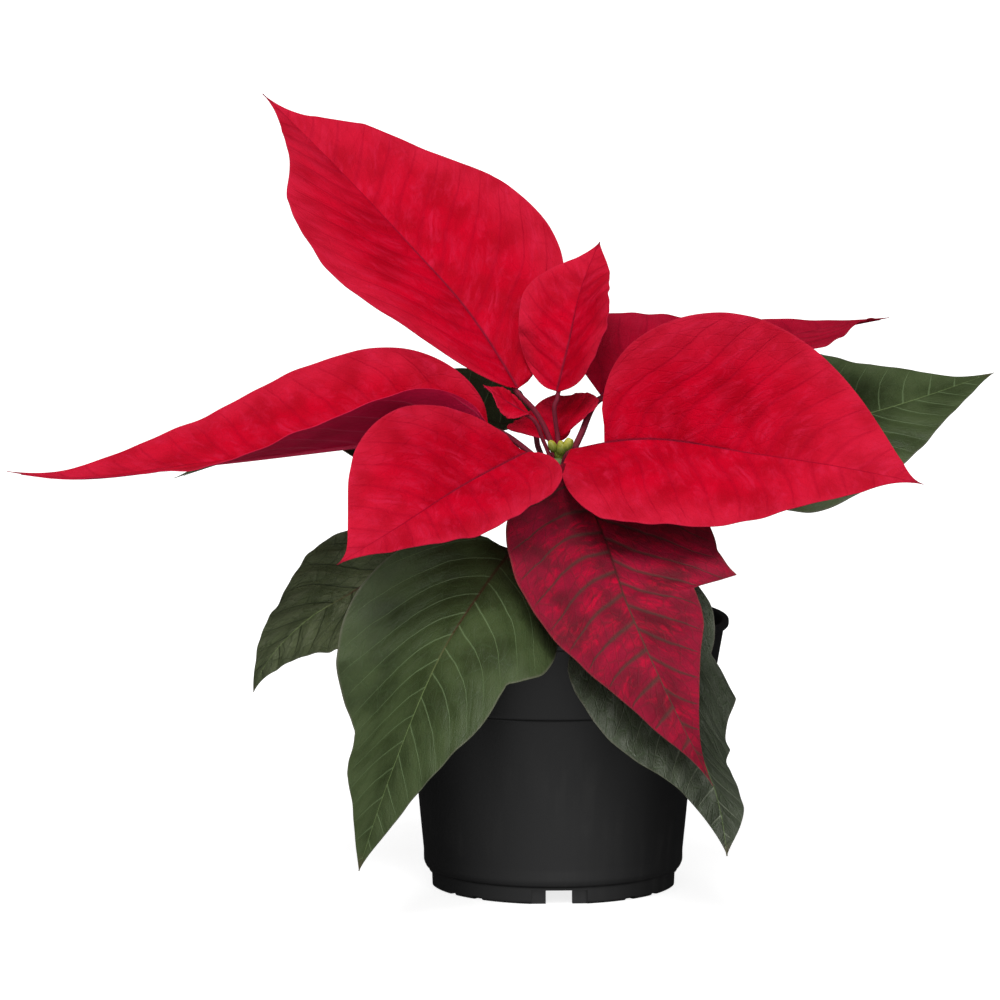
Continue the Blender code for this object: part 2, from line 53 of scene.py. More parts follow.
floor_mesh = bpy.data.meshes.new("sweep")
floor_mesh.from_pydata([(-9, -4, 0), (9, -4, 0), (9, 14, 0), (-9, 14, 0)], [], [(0, 1, 2, 3)])
floor = bpy.data.objects.new("sweep", floor_mesh)
scene.collection.objects.link(floor)
floor.visible_diffuse = False
floor.visible_glossy = False
paper = bpy.data.materials.new("white_sweep")
paper.use_nodes = True
paper_shader = paper.node_tree.nodes["Principled BSDF"]
paper_shader.inputs["Base Color"].default_value = (0.50, 0.50, 0.50, 1)
paper_shader.inputs["Roughness"].default_value = 0.9
paper_shader.inputs["Specular IOR Level"].default_value = 0.0
paper_shader.inputs["Emission Color"].default_value = (1, 1, 1, 1)
paper_shader.inputs["Emission Strength"].default_value = 0.80
floor_mesh.materials.append(paper)

room = bpy.data.worlds.new("studio")
scene.world = room
room.use_nodes = True
tree = room.node_tree
backdrop = tree.nodes["Background"]
way = tree.nodes.new("ShaderNodeTexCoord")
parts_of_way = tree.nodes.new("ShaderNodeSeparateXYZ")
tree.links.new(way.outputs["Generated"], parts_of_way.inputs[0])
front_light = tree.nodes.new("ShaderNodeMapRange")
front_light.inputs["From Min"].default_value = 0.1
front_light.inputs["From Max"].default_value = -0.9
front_light.inputs["To Max"].default_value = 0.75
tree.links.new(parts_of_way.outputs["Y"], front_light.inputs["Value"])
rays = tree.nodes.new("ShaderNodeLightPath")
dimmer = tree.nodes.new("ShaderNodeMapRange")
dimmer.inputs["To Min"].default_value = 0.34
dimmer.inputs["To Max"].default_value = 0.02
tree.links.new(rays.outputs["Is Glossy Ray"], dimmer.inputs["Value"])
tree.links.new(dimmer.outputs["Result"], front_light.inputs["To Min"])
seen = tree.nodes.new("ShaderNodeMix")
seen.data_type = "FLOAT"
seen.inputs["B"].default_value = 1.0
tree.links.new(rays.outputs["Is Camera Ray"], seen.inputs["Factor"])
tree.links.new(front_light.outputs["Result"], seen.inputs["A"])
tree.links.new(seen.outputs[0], backdrop.inputs["Strength"])
backdrop.inputs["Color"].default_value = (1, 1, 1, 1)


def soft_sun(name, azimuth, elevation, strength, softness):
    """A distant soft lamp. Azimuth is 0 at the front and grows towards the plant's right, in degrees."""
    lamp = bpy.data.lights.new(name, "SUN")
    lamp.energy = strength
    lamp.angle = math.radians(softness)
    lamp_object = bpy.data.objects.new(name, lamp)
    turn = math.radians(azimuth)
    rise = math.radians(elevation)
    towards = Vector((math.sin(turn) * math.cos(rise), -math.cos(turn) * math.cos(rise), math.sin(rise)))
    lamp_object.rotation_euler = towards.to_track_quat("Z", "Y").to_euler()
    scene.collection.objects.link(lamp_object)


soft_sun("key_lamp", -16, 56, 2.35, 30)
soft_sun("fill_lamp", 6, 24, 0.85, 40)

lens = bpy.data.cameras.new("camera")
lens.lens = 263.9
lens.sensor_width = 36
lens.clip_end = 100
camera = bpy.data.objects.new("camera", lens)
camera.location = (-0.01824, -2.4769, 0.4716)
camera.rotation_euler = (math.radians(82.2), 0, 0)
scene.collection.objects.link(camera)
scene.camera = camera

# The pot: thin black plastic, blow-moulded in one piece, with a rolled rim, a stacking collar, a foot ring
# notched so that it drains, and eight holes in its floor.
POT_HEIGHT = 92.0
RIM_RADIUS = 60.0
RIM_DEPTH = 2.6
COLLAR_FOOT_Z = 65.5
COLLAR_FOOT_RADIUS = 54.2
COLLAR_TOP_RADIUS = 58.4
BODY_TOP_RADIUS = 49.3
BODY_FOOT_Z = 11.8
BODY_FOOT_RADIUS = 44.4
FOOT_RADIUS = 42.4
FOOT_Z = 6.4
POT_WALL = 1.3
FLOOR_Z = 6.6
UNDER_Z = 5.2
FOOT_RING = 36.8


def node(tree, kind, links=None, **values):
    """A shader node with its settings and plain inputs set, and its linked inputs joined."""
    made = tree.nodes.new(kind)
    for key, value in values.items():
        setattr(made, key, value)
    for key, source in (links or {}).items():
        socket = made.inputs[key]
        if isinstance(source, bpy.types.NodeSocket):
            tree.links.new(source, socket)
        else:
            socket.default_value = source
    return made


def mix_colour(tree, amount, first, second):
    """One colour laid over another by a mask. Each may be a colour or a socket."""
    made = node(tree, "ShaderNodeMix", data_type="RGBA")
    for slot_index, source in ((0, amount), (6, first), (7, second)):
        if isinstance(source, bpy.types.NodeSocket):
            tree.links.new(source, made.inputs[slot_index])
        elif slot_index:
            made.inputs[slot_index].default_value = (*source, 1.0)
        else:
            made.inputs[slot_index].default_value = source
    return made.outputs[2]


def spread(tree, value, low, high, to_low=0.0, to_high=1.0):
    """A value eased from one range to another."""
    made = node(tree, "ShaderNodeMapRange", {
        "Value": value, "From Min": low, "From Max": high, "To Min": to_low, "To Max": to_high,
    }, interpolation_type="SMOOTHSTEP")
    return made.outputs["Result"]


def calculate(tree, operation, first, second):
    """One step of arithmetic on numbers or sockets."""
    made = node(tree, "ShaderNodeMath", {0: first, 1: second}, operation=operation)
    return made.outputs[0]


def object_place(tree):
    """The place on the piece, in metres."""
    return node(tree, "ShaderNodeTexCoord").outputs["Object"]


def noise(tree, place, scale, detail):
    """Soft random patches, from 0 to 1."""
    made = node(tree, "ShaderNodeTexNoise", {"Vector": place, "Scale": scale, "Detail": detail})
    return made.outputs["Fac"]


def roughen(tree, shader, height, strength, distance):
    """A low relief on a finish, from a height that changes over its surface."""
    relief = node(tree, "ShaderNodeBump", {"Height": height, "Strength": strength, "Distance": distance})
    tree.links.new(relief.outputs["Normal"], shader.inputs["Normal"])


def new_finish(name, roughness, specular):
    """A material, its node tree and its shader, with the constant numbers set on the shader."""
    made = bpy.data.materials.new(name)
    made.use_nodes = True
    shader = made.node_tree.nodes["Principled BSDF"]
    shader.inputs["Roughness"].default_value = roughness
    shader.inputs["Specular IOR Level"].default_value = specular
    return made, made.node_tree, shader


def mesh_piece(name, points, faces, finishes, sharp=40):
    """A smooth-shaded piece at the origin from points in millimetres."""
    mesh = bpy.data.meshes.new(name)
    mesh.from_pydata(np.asarray(points, float) * MM, [], faces)
    for finish in finishes:
        mesh.materials.append(finish)
    mesh.shade_smooth()
    mesh.set_sharp_from_angle(angle=math.radians(sharp))
    piece = bpy.data.objects.new(name, mesh)
    scene.collection.objects.link(piece)
    return piece


def fasten(piece, node_name):
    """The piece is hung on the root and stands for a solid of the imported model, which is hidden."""
    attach(piece, "root")
    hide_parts(node_name)


def eased(profile, reach):
    """The profile with each corner rounded by a short curve."""
    points = [np.array(point, float) for point in profile]
    rounded = [points[0]]
    for before, corner, after in zip(points, points[1:], points[2:]):
        back = before - corner
        on = after - corner
        back *= min(reach, 0.35 * np.linalg.norm(back)) / np.linalg.norm(back)
        on *= min(reach, 0.35 * np.linalg.norm(on)) / np.linalg.norm(on)
        for share in (0.0, 0.33, 0.67, 1.0):
            rounded.append(corner + back * (1 - share) ** 2 + on * share ** 2)
    rounded.append(points[-1])
    return rounded


def turned_mesh(profile, segments):
    """Points and faces of a shape turned about Z, from a profile that starts and ends on the axis."""
    angles = np.linspace(0, 2 * np.pi, segments, endpoint=False)
    points = [(0, 0, profile[0][1])]
    for radius, height in profile[1:-1]:
        points += [(radius * math.cos(a), radius * math.sin(a), height) for a in angles]
    points.append((0, 0, profile[-1][1]))
    faces = []
    last_ring = 1 + (len(profile) - 3) * segments
    for step in range(segments):
        after = (step + 1) % segments
        faces.append((0, 1 + after, 1 + step))
        faces.append((len(points) - 1, last_ring + step, last_ring + after))
        for ring in range(len(profile) - 3):
            low = 1 + ring * segments
            faces.append((low + step, low + after, low + segments + after, low + segments + step))
    return points, faces


def tube_faces(rings, sides, first=0):
    """Faces of a closed tube made of rings of points, counted from its first point."""
    last = first + (rings - 1) * sides
    faces = [tuple(range(first + sides - 1, first - 1, -1)), tuple(range(last, last + sides))]
    for ring in range(rings - 1):
        for step in range(sides):
            low = first + ring * sides + step
            after = first + ring * sides + (step + 1) % sides
            faces.append((low, after, after + sides, low + sides))
    return faces


def cut_away(piece, cutters):
    """Takes one mesh of cutters from a piece for good."""
    modifier = piece.modifiers.new("cut", "BOOLEAN")
    modifier.operation = "DIFFERENCE"
    modifier.solver = "EXACT"
    modifier.use_self = True
    modifier.object = cutters
    bpy.context.view_layer.update()
    result = bpy.data.meshes.new_from_object(piece.evaluated_get(bpy.context.evaluated_depsgraph_get()))
    piece.modifiers.clear()
    piece.data = result
    bpy.data.objects.remove(cutters)


pot_outside = [
    (0, 0), (11.0, 0), (12.2, UNDER_Z), (FOOT_RING, UNDER_Z), (FOOT_RING + 0.6, 0), (FOOT_RADIUS - 0.8, 0),
    (FOOT_RADIUS, 0.8), (FOOT_RADIUS + 0.2, FOOT_Z - 0.6), (FOOT_RADIUS + 1.2, FOOT_Z),
    (FOOT_RADIUS + 2.0, FOOT_Z + 1.8), (BODY_FOOT_RADIUS, BODY_FOOT_Z), (BODY_FOOT_RADIUS + 1.2, 24.0),
    (BODY_TOP_RADIUS, COLLAR_FOOT_Z - 1.2), (COLLAR_FOOT_RADIUS - 0.5, COLLAR_FOOT_Z - 0.6),
    (COLLAR_FOOT_RADIUS, COLLAR_FOOT_Z), (COLLAR_TOP_RADIUS, POT_HEIGHT - RIM_DEPTH),
    (RIM_RADIUS - 0.5, POT_HEIGHT - RIM_DEPTH), (RIM_RADIUS, POT_HEIGHT - RIM_DEPTH + 0.5),
    (RIM_RADIUS, POT_HEIGHT - 0.5), (RIM_RADIUS - 0.5, POT_HEIGHT),
]
pot_inside = [
    (RIM_RADIUS - 2.2, POT_HEIGHT), (COLLAR_TOP_RADIUS - POT_WALL, POT_HEIGHT - RIM_DEPTH),
    (COLLAR_FOOT_RADIUS - POT_WALL, COLLAR_FOOT_Z + 1.0), (BODY_TOP_RADIUS - POT_WALL, COLLAR_FOOT_Z),
    (BODY_FOOT_RADIUS - POT_WALL, BODY_FOOT_Z), (BODY_FOOT_RADIUS - 3.4, FLOOR_Z), (0, FLOOR_Z),
]
pot_points, pot_faces = turned_mesh(eased(pot_outside + pot_inside, 0.8), 144)

NOTCH_ANGLES = (-87.5, 0, 90, 180)
SLIT_ANGLES = (-128, -52, -35, -145, 35, 52, 128, 145)
cut_points = []
cut_faces = []
# Each notch: its angle round the foot, its distance from the middle, its depth, its width and its height.
notches = [(angle, FOOT_RADIUS, 5.0, 19.0, 5.0) for angle in NOTCH_ANGLES]
notches += [(angle, FOOT_RADIUS - 3.5, 9.0, 9.0, 4.5) for angle in NOTCH_ANGLES]
notches += [(angle, FOOT_RADIUS + 0.5, 7.0, 4.0, 1.2) for angle in SLIT_ANGLES]
for angle, radius, depth, width, height in notches:
    turn = math.radians(angle)
    first = len(cut_points)
    for z in (-5 * height, height):
        for dx, dy in ((-1, -1), (1, -1), (1, 1), (-1, 1)):
            x = radius + dx * depth / 2
            y = dy * width / 2
            turned_x = x * math.cos(turn) - y * math.sin(turn)
            turned_y = x * math.sin(turn) + y * math.cos(turn)
            cut_points.append((turned_x, turned_y, z))
    for face in ((3, 2, 1, 0), (4, 5, 6, 7), (0, 1, 5, 4), (1, 2, 6, 5), (2, 3, 7, 6), (3, 0, 4, 7)):
        cut_faces.append([first + corner for corner in face])

HOLES = 8
HOLE_CIRCLE = 28
HOLE_RADIUS = 5
HOLE_SIDES = 24
for hole in range(HOLES):
    turn = math.radians(22.5 + 45 * hole)
    first = len(cut_points)
    for z in (-4.0, FLOOR_Z + 2):
        for step in range(HOLE_SIDES):
            around = 2 * math.pi * step / HOLE_SIDES
            x = HOLE_CIRCLE * math.cos(turn) + HOLE_RADIUS * math.cos(around)
            y = HOLE_CIRCLE * math.sin(turn) + HOLE_RADIUS * math.sin(around)
            cut_points.append((x, y, z))
    cut_faces += tube_faces(2, HOLE_SIDES, first)

black_plastic, tree, shader = new_finish("black_plastic", 0.42, 0.34)
place = object_place(tree)
cloud = noise(tree, place, 35.0, 4.0)
flow = node(tree, "ShaderNodeMapping", {"Vector": place, "Scale": (1.0, 1.0, 0.12)}).outputs["Vector"]
streak = noise(tree, flow, 260.0, 2.0)
grit = noise(tree, place, 2600.0, 2.0)
dusty = calculate(tree, "MULTIPLY", spread(tree, cloud, 0.45, 0.75), spread(tree, streak, 0.40, 0.70))
plastic = mix_colour(tree, dusty, (0.0085, 0.0085, 0.0088), (0.0150, 0.0147, 0.0145))
tree.links.new(plastic, shader.inputs["Base Color"])
tree.links.new(spread(tree, cloud, 0.3, 0.7, 0.38, 0.46), shader.inputs["Roughness"])
roughen(tree, shader, grit, 0.12, 0.0002)

pot = mesh_piece("nursery_pot", pot_points, pot_faces, [black_plastic])
cut_away(pot, mesh_piece("cutters", cut_points, cut_faces, []))
pot.data.shade_smooth()
pot.data.set_sharp_from_angle(angle=math.radians(40))
fasten(pot, "pot")

# Potting soil: dark peat with bark and a little white perlite, filled to a finger's width below the rim and
# heaped slightly at the stem. Loose crumbs lie on a rough bed.
SOIL_TOP_Z = 80.0
SOIL_MOUND = 2.0
HEAP_RADIUS = 50.0
CROWN_RADIUS = 24.0
ROUGH_RADIUS = 52.0
SOIL_GAP = POT_WALL + 0.3

soil_profile = [
    (0, FLOOR_Z + 0.3), (BODY_FOOT_RADIUS - 4.2, FLOOR_Z + 0.3),
    (BODY_FOOT_RADIUS - SOIL_GAP - 0.3, BODY_FOOT_Z + 1),
    (BODY_TOP_RADIUS - SOIL_GAP - 0.2, COLLAR_FOOT_Z + 0.6),
    (COLLAR_FOOT_RADIUS - SOIL_GAP - 0.4, COLLAR_FOOT_Z + 2),
    (COLLAR_FOOT_RADIUS - SOIL_GAP + 1.4, SOIL_TOP_Z - 1),
]
for radius in np.linspace(COLLAR_FOOT_RADIUS - SOIL_GAP + 0.6, 3.0, 34):
    heap = min(1.0, max(0.0, (HEAP_RADIUS - radius) / (HEAP_RADIUS - CROWN_RADIUS)))
    crown = max(0.0, (CROWN_RADIUS - radius) / CROWN_RADIUS)
    soil_profile.append((radius, SOIL_TOP_Z + SOIL_MOUND * (0.7 * heap + 0.3 * crown)))
soil_profile.append((0, SOIL_TOP_Z + SOIL_MOUND))
soil_points, soil_faces = turned_mesh(soil_profile, 120)
lumps = np.array(soil_points)
bumps = np.zeros(len(lumps))
for scale, height, turn in ((0.31, 0.55, 0.4), (0.53, 0.45, 1.3), (0.93, 0.35, 2.2), (1.7, 0.22, 0.9)):
    along = lumps[:, 0] * math.cos(turn) + lumps[:, 1] * math.sin(turn)
    sideways = lumps[:, 1] * math.cos(turn) - lumps[:, 0] * math.sin(turn)
    swirl = 2 * np.sin(0.37 * sideways * scale)
    bumps += height * np.sin(scale * along + swirl) * np.sin(scale * sideways + turn)
top_only = (lumps[:, 2] > SOIL_TOP_Z - 0.5) & (np.hypot(lumps[:, 0], lumps[:, 1]) < ROUGH_RADIUS)
lumps[top_only, 2] += bumps[top_only]


def soil_finish(name, dark, light, scale):
    """Crumbly matter whose colour and height change from grain to grain."""
    made, tree, shader = new_finish(name, 0.95, 0.15)
    place = object_place(tree)
    grain = node(tree, "ShaderNodeTexVoronoi", {"Vector": place, "Scale": scale})
    cloud = noise(tree, place, scale * 0.4, 6.0)
    shade = calculate(tree, "MULTIPLY", grain.outputs["Distance"], cloud)
    colour = mix_colour(tree, spread(tree, shade, 0.05, 0.45), dark, light)
    tree.links.new(colour, shader.inputs["Base Color"])
    tree.links.new(spread(tree, cloud, 0.3, 0.7, 0.85, 1.0), shader.inputs["Roughness"])
    roughen(tree, shader, cloud, 0.7, 0.0006)
    return made


peat = soil_finish("peat", (0.010, 0.006, 0.004), (0.060, 0.036, 0.022), 700.0)
bark = soil_finish("bark_crumbs", (0.018, 0.010, 0.006), (0.105, 0.062, 0.036), 900.0)
perlite = soil_finish("perlite", (0.42, 0.40, 0.36), (0.80, 0.78, 0.72), 900.0)
soil = mesh_piece("peat_bed", lumps, soil_faces, [peat], sharp=70)
fasten(soil, "potting_soil")

crumb_tree = bpy.data.node_groups.new("scattered_crumbs", "GeometryNodeTree")
crumb_tree.interface.new_socket("Geometry", in_out="INPUT", socket_type="NodeSocketGeometry")
sizes = {}
for label, kind in (("Crumb Size", "NodeSocketFloat"), ("Crumbs per Square Metre", "NodeSocketFloat"),
                    ("Seed", "NodeSocketInt"), ("Finish", "NodeSocketMaterial")):
    sizes[label] = crumb_tree.interface.new_socket(label, in_out="INPUT", socket_type=kind).identifier
crumb_tree.interface.new_socket("Geometry", in_out="OUTPUT", socket_type="NodeSocketGeometry")
given = crumb_tree.nodes.new("NodeGroupInput")
result = crumb_tree.nodes.new("NodeGroupOutput")
spot = node(crumb_tree, "GeometryNodeInputPosition").outputs[0]
height_here = node(crumb_tree, "ShaderNodeSeparateXYZ", {0: spot}).outputs["Z"]
LOWEST_CRUMB = 0.079  # metres
on_top = node(crumb_tree, "FunctionNodeCompare", {
    0: height_here, 1: LOWEST_CRUMB,
}, operation="GREATER_THAN").outputs[0]
points_node = node(crumb_tree, "GeometryNodeDistributePointsOnFaces", {
    "Mesh": given.outputs["Geometry"], "Density": given.outputs["Crumbs per Square Metre"],
    "Seed": given.outputs["Seed"], "Selection": on_top,
})
grain_shape = node(crumb_tree, "GeometryNodeMeshUVSphere", {"Segments": 7, "Rings": 5, "Radius": 1.0})
wobble = node(crumb_tree, "ShaderNodeTexNoise", {"Scale": 1.3, "Detail": 1.0}).outputs["Color"]
shifted = node(crumb_tree, "ShaderNodeVectorMath", {
    0: wobble, 1: (0.5, 0.5, 0.5),
}, operation="SUBTRACT").outputs[0]
dented = node(crumb_tree, "GeometryNodeSetPosition", {
    "Geometry": grain_shape.outputs["Mesh"], "Offset": shifted,
})
random_size = node(crumb_tree, "FunctionNodeRandomValue", {"Seed": 3}, data_type="FLOAT_VECTOR")
random_size.inputs[0].default_value = (0.35, 0.35, 0.30)
random_size.inputs[1].default_value = (1.25, 1.0, 0.8)
random_turn = node(crumb_tree, "FunctionNodeRandomValue", {"Seed": 8}, data_type="FLOAT_VECTOR")
random_turn.inputs[1].default_value = (6.28, 6.28, 6.28)
real_size = node(crumb_tree, "ShaderNodeVectorMath", {
    0: random_size.outputs[0], "Scale": given.outputs["Crumb Size"],
}, operation="SCALE").outputs[0]
placed = node(crumb_tree, "GeometryNodeInstanceOnPoints", {
    "Points": points_node.outputs["Points"], "Instance": dented.outputs["Geometry"],
    "Rotation": random_turn.outputs[0], "Scale": real_size,
})
real = node(crumb_tree, "GeometryNodeRealizeInstances", {"Geometry": placed.outputs["Instances"]})
coloured = node(crumb_tree, "GeometryNodeSetMaterial", {
    "Geometry": real.outputs["Geometry"], "Material": given.outputs["Finish"],
})
crumb_tree.links.new(coloured.outputs["Geometry"], result.inputs["Geometry"])


def scatter_crumbs(name, size, density, seed, finish):
    """Loose grains strewn over the soil's top, as one plain mesh."""
    carrier = bpy.data.objects.new(name, soil.data.copy())
    scene.collection.objects.link(carrier)
    modifier = carrier.modifiers.new("crumbs", "NODES")
    modifier.node_group = crumb_tree
    modifier[sizes["Crumb Size"]] = size * MM
    modifier[sizes["Crumbs per Square Metre"]] = float(density)
    modifier[sizes["Seed"]] = seed
    modifier[sizes["Finish"]] = finish
    bpy.context.view_layer.update()
    grains = bpy.data.meshes.new_from_object(carrier.evaluated_get(bpy.context.evaluated_depsgraph_get()))
    carrier.modifiers.clear()
    carrier.data = grains
    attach(carrier, "root")


scatter_crumbs("bark_crumbs", 1.5, 150000, 5, bark)
scatter_crumbs("perlite_grains", 1.2, 9000, 11, perlite)

# The stem: one young green shoot, woody at its foot, with a slight swelling and a half-ring scar wherever a
# leaf or bract grows or has dropped.
STEM_FOOT_Z = 48.0
STEM_TOP_Z = 147.0
STEM_RADIUS = 3.3
STEM_TOP_RADIUS = 2.5
STEM_LEAN = 2.2


def stem_centre(z):
    """Where the leaning stem's middle is at a height."""
    share = max(0.0, (z - SOIL_TOP_Z) / (STEM_TOP_Z - SOIL_TOP_Z))
    return STEM_LEAN * share, 0.0


def stem_radius(z):
    """How thick the tapering stem is at a height."""
    share = (z - STEM_FOOT_Z) / (STEM_TOP_Z - STEM_FOOT_Z)
    return STEM_RADIUS + (STEM_TOP_RADIUS - STEM_RADIUS) * share


stem_sides = 28
stem_rows = 150
scar_heights = [88, 95, 104, 108, 112, 122, 127, 131, 136, 138, 141, 143, 145]
stem_points = []
for z in np.linspace(STEM_FOOT_Z, STEM_TOP_Z, stem_rows):
    x, y = stem_centre(z)
    for side_step in range(stem_sides):
        around = 2 * math.pi * side_step / stem_sides
        radius = stem_radius(z) + 0.06 * math.sin(5 * around + 0.05 * z)
        for count, height in enumerate(scar_heights):
            swell = 0.45 * math.exp(-((z - height) / 1.6) ** 2)
            radius += swell * (0.55 + 0.45 * math.cos(around - 2.4 * count))
            radius -= 0.25 * math.exp(-((z - height + 1.6) / 0.35) ** 2)
        ease = min(1.0, (STEM_TOP_Z - z) / 1.4)
        radius *= 0.55 + 0.45 * math.sqrt(max(ease, 0.0))
        stem_points.append((x + radius * math.cos(around), y + radius * math.sin(around), z))

stem_skin, tree, shader = new_finish("stem_skin", 0.6, 0.3)
place = object_place(tree)
high = node(tree, "ShaderNodeSeparateXYZ", {0: place}).outputs["Z"]
stretched = node(tree, "ShaderNodeMapping", {"Vector": place, "Scale": (1.0, 1.0, 0.2)}).outputs["Vector"]
fibre = noise(tree, stretched, 900.0, 4.0)
dots = node(tree, "ShaderNodeTexVoronoi", {"Vector": stretched, "Scale": 420.0}).outputs["Distance"]
woody = spread(tree, high, 0.125, 0.085)
skin = mix_colour(tree, woody, (0.105, 0.150, 0.045), (0.115, 0.075, 0.040))
skin = mix_colour(tree, spread(tree, fibre, 0.35, 0.75, 0.0, 0.6), skin, (0.060, 0.052, 0.025))
skin = mix_colour(tree, spread(tree, dots, 0.16, 0.08, 0.0, 0.7), skin, (0.26, 0.21, 0.13))
tree.links.new(skin, shader.inputs["Base Color"])
tree.links.new(spread(tree, fibre, 0.3, 0.7, 0.5, 0.72), shader.inputs["Roughness"])
roughen(tree, shader, fibre, 0.4, 0.0003)
stem = mesh_piece("stem_shoot", stem_points, tube_faces(stem_rows, stem_sides), [stem_skin], sharp=60)
fasten(stem, "stem")

# The green leaves: thin, slightly leathery blades on red-purple stalks, quilted between the side veins, two
# of them strongly. The midrib stands out underneath and lies in a groove on top.
BLADE = 0.5  # thickness
NARROWEST = 0.25
FOLD_OVER = 8.0  # a side narrower than this lies flatter
RIB_GROOVE = 0.42
SMALL_BLADE = 22.0  # a blade narrower than this has a coarser grid
STALK_SIDES = 12
LEAN_OUT = 0.62  # how far a side vein runs on towards the tip for each millimetre outwards
VEIN_ARCH = 0.006


def half(widest, base, tip, rise, curl=0, sweep=0.0, start=0.0, lobes=(), wave=(0.8, 3, 0.0)):
    """One side of a blade: where it is widest, how full its ends are, and how it rises, curls and sweeps."""
    return dict(widest=widest, base=base, tip=tip, rise=rise, curl=curl, sweep=sweep, start=start,
                lobes=lobes, wave=wave)


def smooth_path(points, stations):
    """Places and directions on a smooth curve through the points; stations run from 0 to 1."""
    points = np.array(points, float)
    knots = np.concatenate([[0.0], np.cumsum(np.linalg.norm(np.diff(points, axis=0), axis=1))])
    knots /= knots[-1]
    gaps = np.diff(knots)
    chords = np.diff(points, axis=0) / gaps[:, None]
    slopes = np.zeros_like(points)
    for i in range(1, len(points) - 1):
        slopes[i] = (chords[i - 1] * gaps[i] + chords[i] * gaps[i - 1]) / (gaps[i] + gaps[i - 1])
    slopes[0] = 1.5 * chords[0] - 0.5 * slopes[1] if len(points) > 2 else chords[0]
    slopes[-1] = 1.5 * chords[-1] - 0.5 * slopes[-2] if len(points) > 2 else chords[-1]
    piece_of = np.clip(np.searchsorted(knots, stations, side="right") - 1, 0, len(gaps) - 1)
    t = ((stations - knots[piece_of]) / gaps[piece_of])[:, None]
    here = points[piece_of]
    there = points[piece_of + 1]
    rise = gaps[piece_of][:, None] * slopes[piece_of]
    fall = gaps[piece_of][:, None] * slopes[piece_of + 1]
    places = (2 * t**3 - 3 * t**2 + 1) * here + (t**3 - 2 * t**2 + t) * rise
    places += (3 * t**2 - 2 * t**3) * there + (t**3 - t**2) * fall
    directions = (6 * t**2 - 6 * t) * (here - there)
    directions += (3 * t**2 - 4 * t + 1) * rise + (3 * t**2 - 2 * t) * fall
    return places, directions / np.linalg.norm(directions, axis=1)[:, None]


def level_frame(directions):
    """Across and up for each direction, with across kept level."""
    across = np.cross(directions, (0.0, 0.0, 1.0))
    across /= np.linalg.norm(across, axis=1)[:, None]
    return across, np.cross(across, directions)


def half_widths(side, width, stations):
    """How far the blade reaches out on one side at each station, with its lobes."""
    going_up = np.clip((stations - side["start"]) / (side["widest"] - side["start"]), 0, 1)
    going_down = np.clip((stations - side["widest"]) / (1 - side["widest"]), 0, 1)
    wide = width * np.where(stations <= side["widest"], np.sin(np.pi / 2 * going_up) ** side["base"],
                            np.clip(np.cos(np.pi / 2 * going_down), 0, 1) ** side["tip"])
    for centre, height, back, on in side["lobes"]:
        away = np.abs(stations - centre) / np.where(stations < centre, back, on)
        wide += height * np.clip(1 - away, 0, None) ** 1.4
    return np.maximum(wide, NARROWEST)


def side_surface(side, width, stations, outs, places, directions, sign, ruffle):
    """The middle surface of one side, a row for each station, and each point's distance from the midrib."""
    across, up = level_frame(directions)
    wide = half_widths(side, width, stations)
    base, middle, tip = side["rise"]
    angle = base * (1 - stations) * (1 - 2 * stations) + 4 * middle * stations * (1 - stations)
    angle += tip * stations * (2 * stations - 1)
    angle = np.radians(angle) * np.minimum(1.0, wide / FOLD_OVER)
    angle = angle[:, None]
    wide = wide[:, None]
    out = outs[None, :]
    curl = math.radians(side["curl"] or 0.1)
    leaning = angle + curl * out
    flat = wide / curl * (np.sin(leaning) - np.sin(angle))
    lift = wide / curl * (np.cos(angle) - np.cos(leaning))
    high, count, phase = side["wave"]
    s = stations[:, None]
    ripple = high * out**2 * np.sin(2 * np.pi * (count * s + phase)) * np.sin(np.pi * s)
    fine = np.sin(2 * np.pi * (7.3 * s + phase + ruffle))
    fine = fine + 0.7 * np.sin(2 * np.pi * (12.1 * s + 2 * phase + ruffle))
    ripple = ripple + 0.30 * out**4 * fine * np.sin(np.pi * s) * np.minimum(1.0, wide / 15)
    flat = flat - np.sin(leaning) * ripple
    lift = lift + np.cos(leaning) * ripple
    sweep = side["sweep"] * wide * out**2
    surface = places[:, None, :] + sign * flat[:, :, None] * across[:, None, :]
    surface = surface + lift[:, :, None] * up[:, None, :] + sweep[:, :, None] * directions[:, None, :]
    return surface, wide * out


def tube_rings(centres, radii, sides):
    """Rings round a path that turn no more than the path does."""
    centres = np.array(centres)
    directions = np.gradient(centres, axis=0)
    directions /= np.linalg.norm(directions, axis=1)[:, None]
    guide = np.cross(directions[0], (0.0, 0.0, 1.0))
    if np.linalg.norm(guide) < 0.05:
        guide = np.array((1.0, 0.0, 0.0))
    points = []
    for centre, radius, along in zip(centres, radii, directions):
        guide = guide - along * guide.dot(along)
        guide /= np.linalg.norm(guide)
        other = np.cross(along, guide)
        for step in range(sides):
            around = 2 * math.pi * step / sides
            points.append(centre + radius * (math.cos(around) * guide + math.sin(around) * other))
    return points


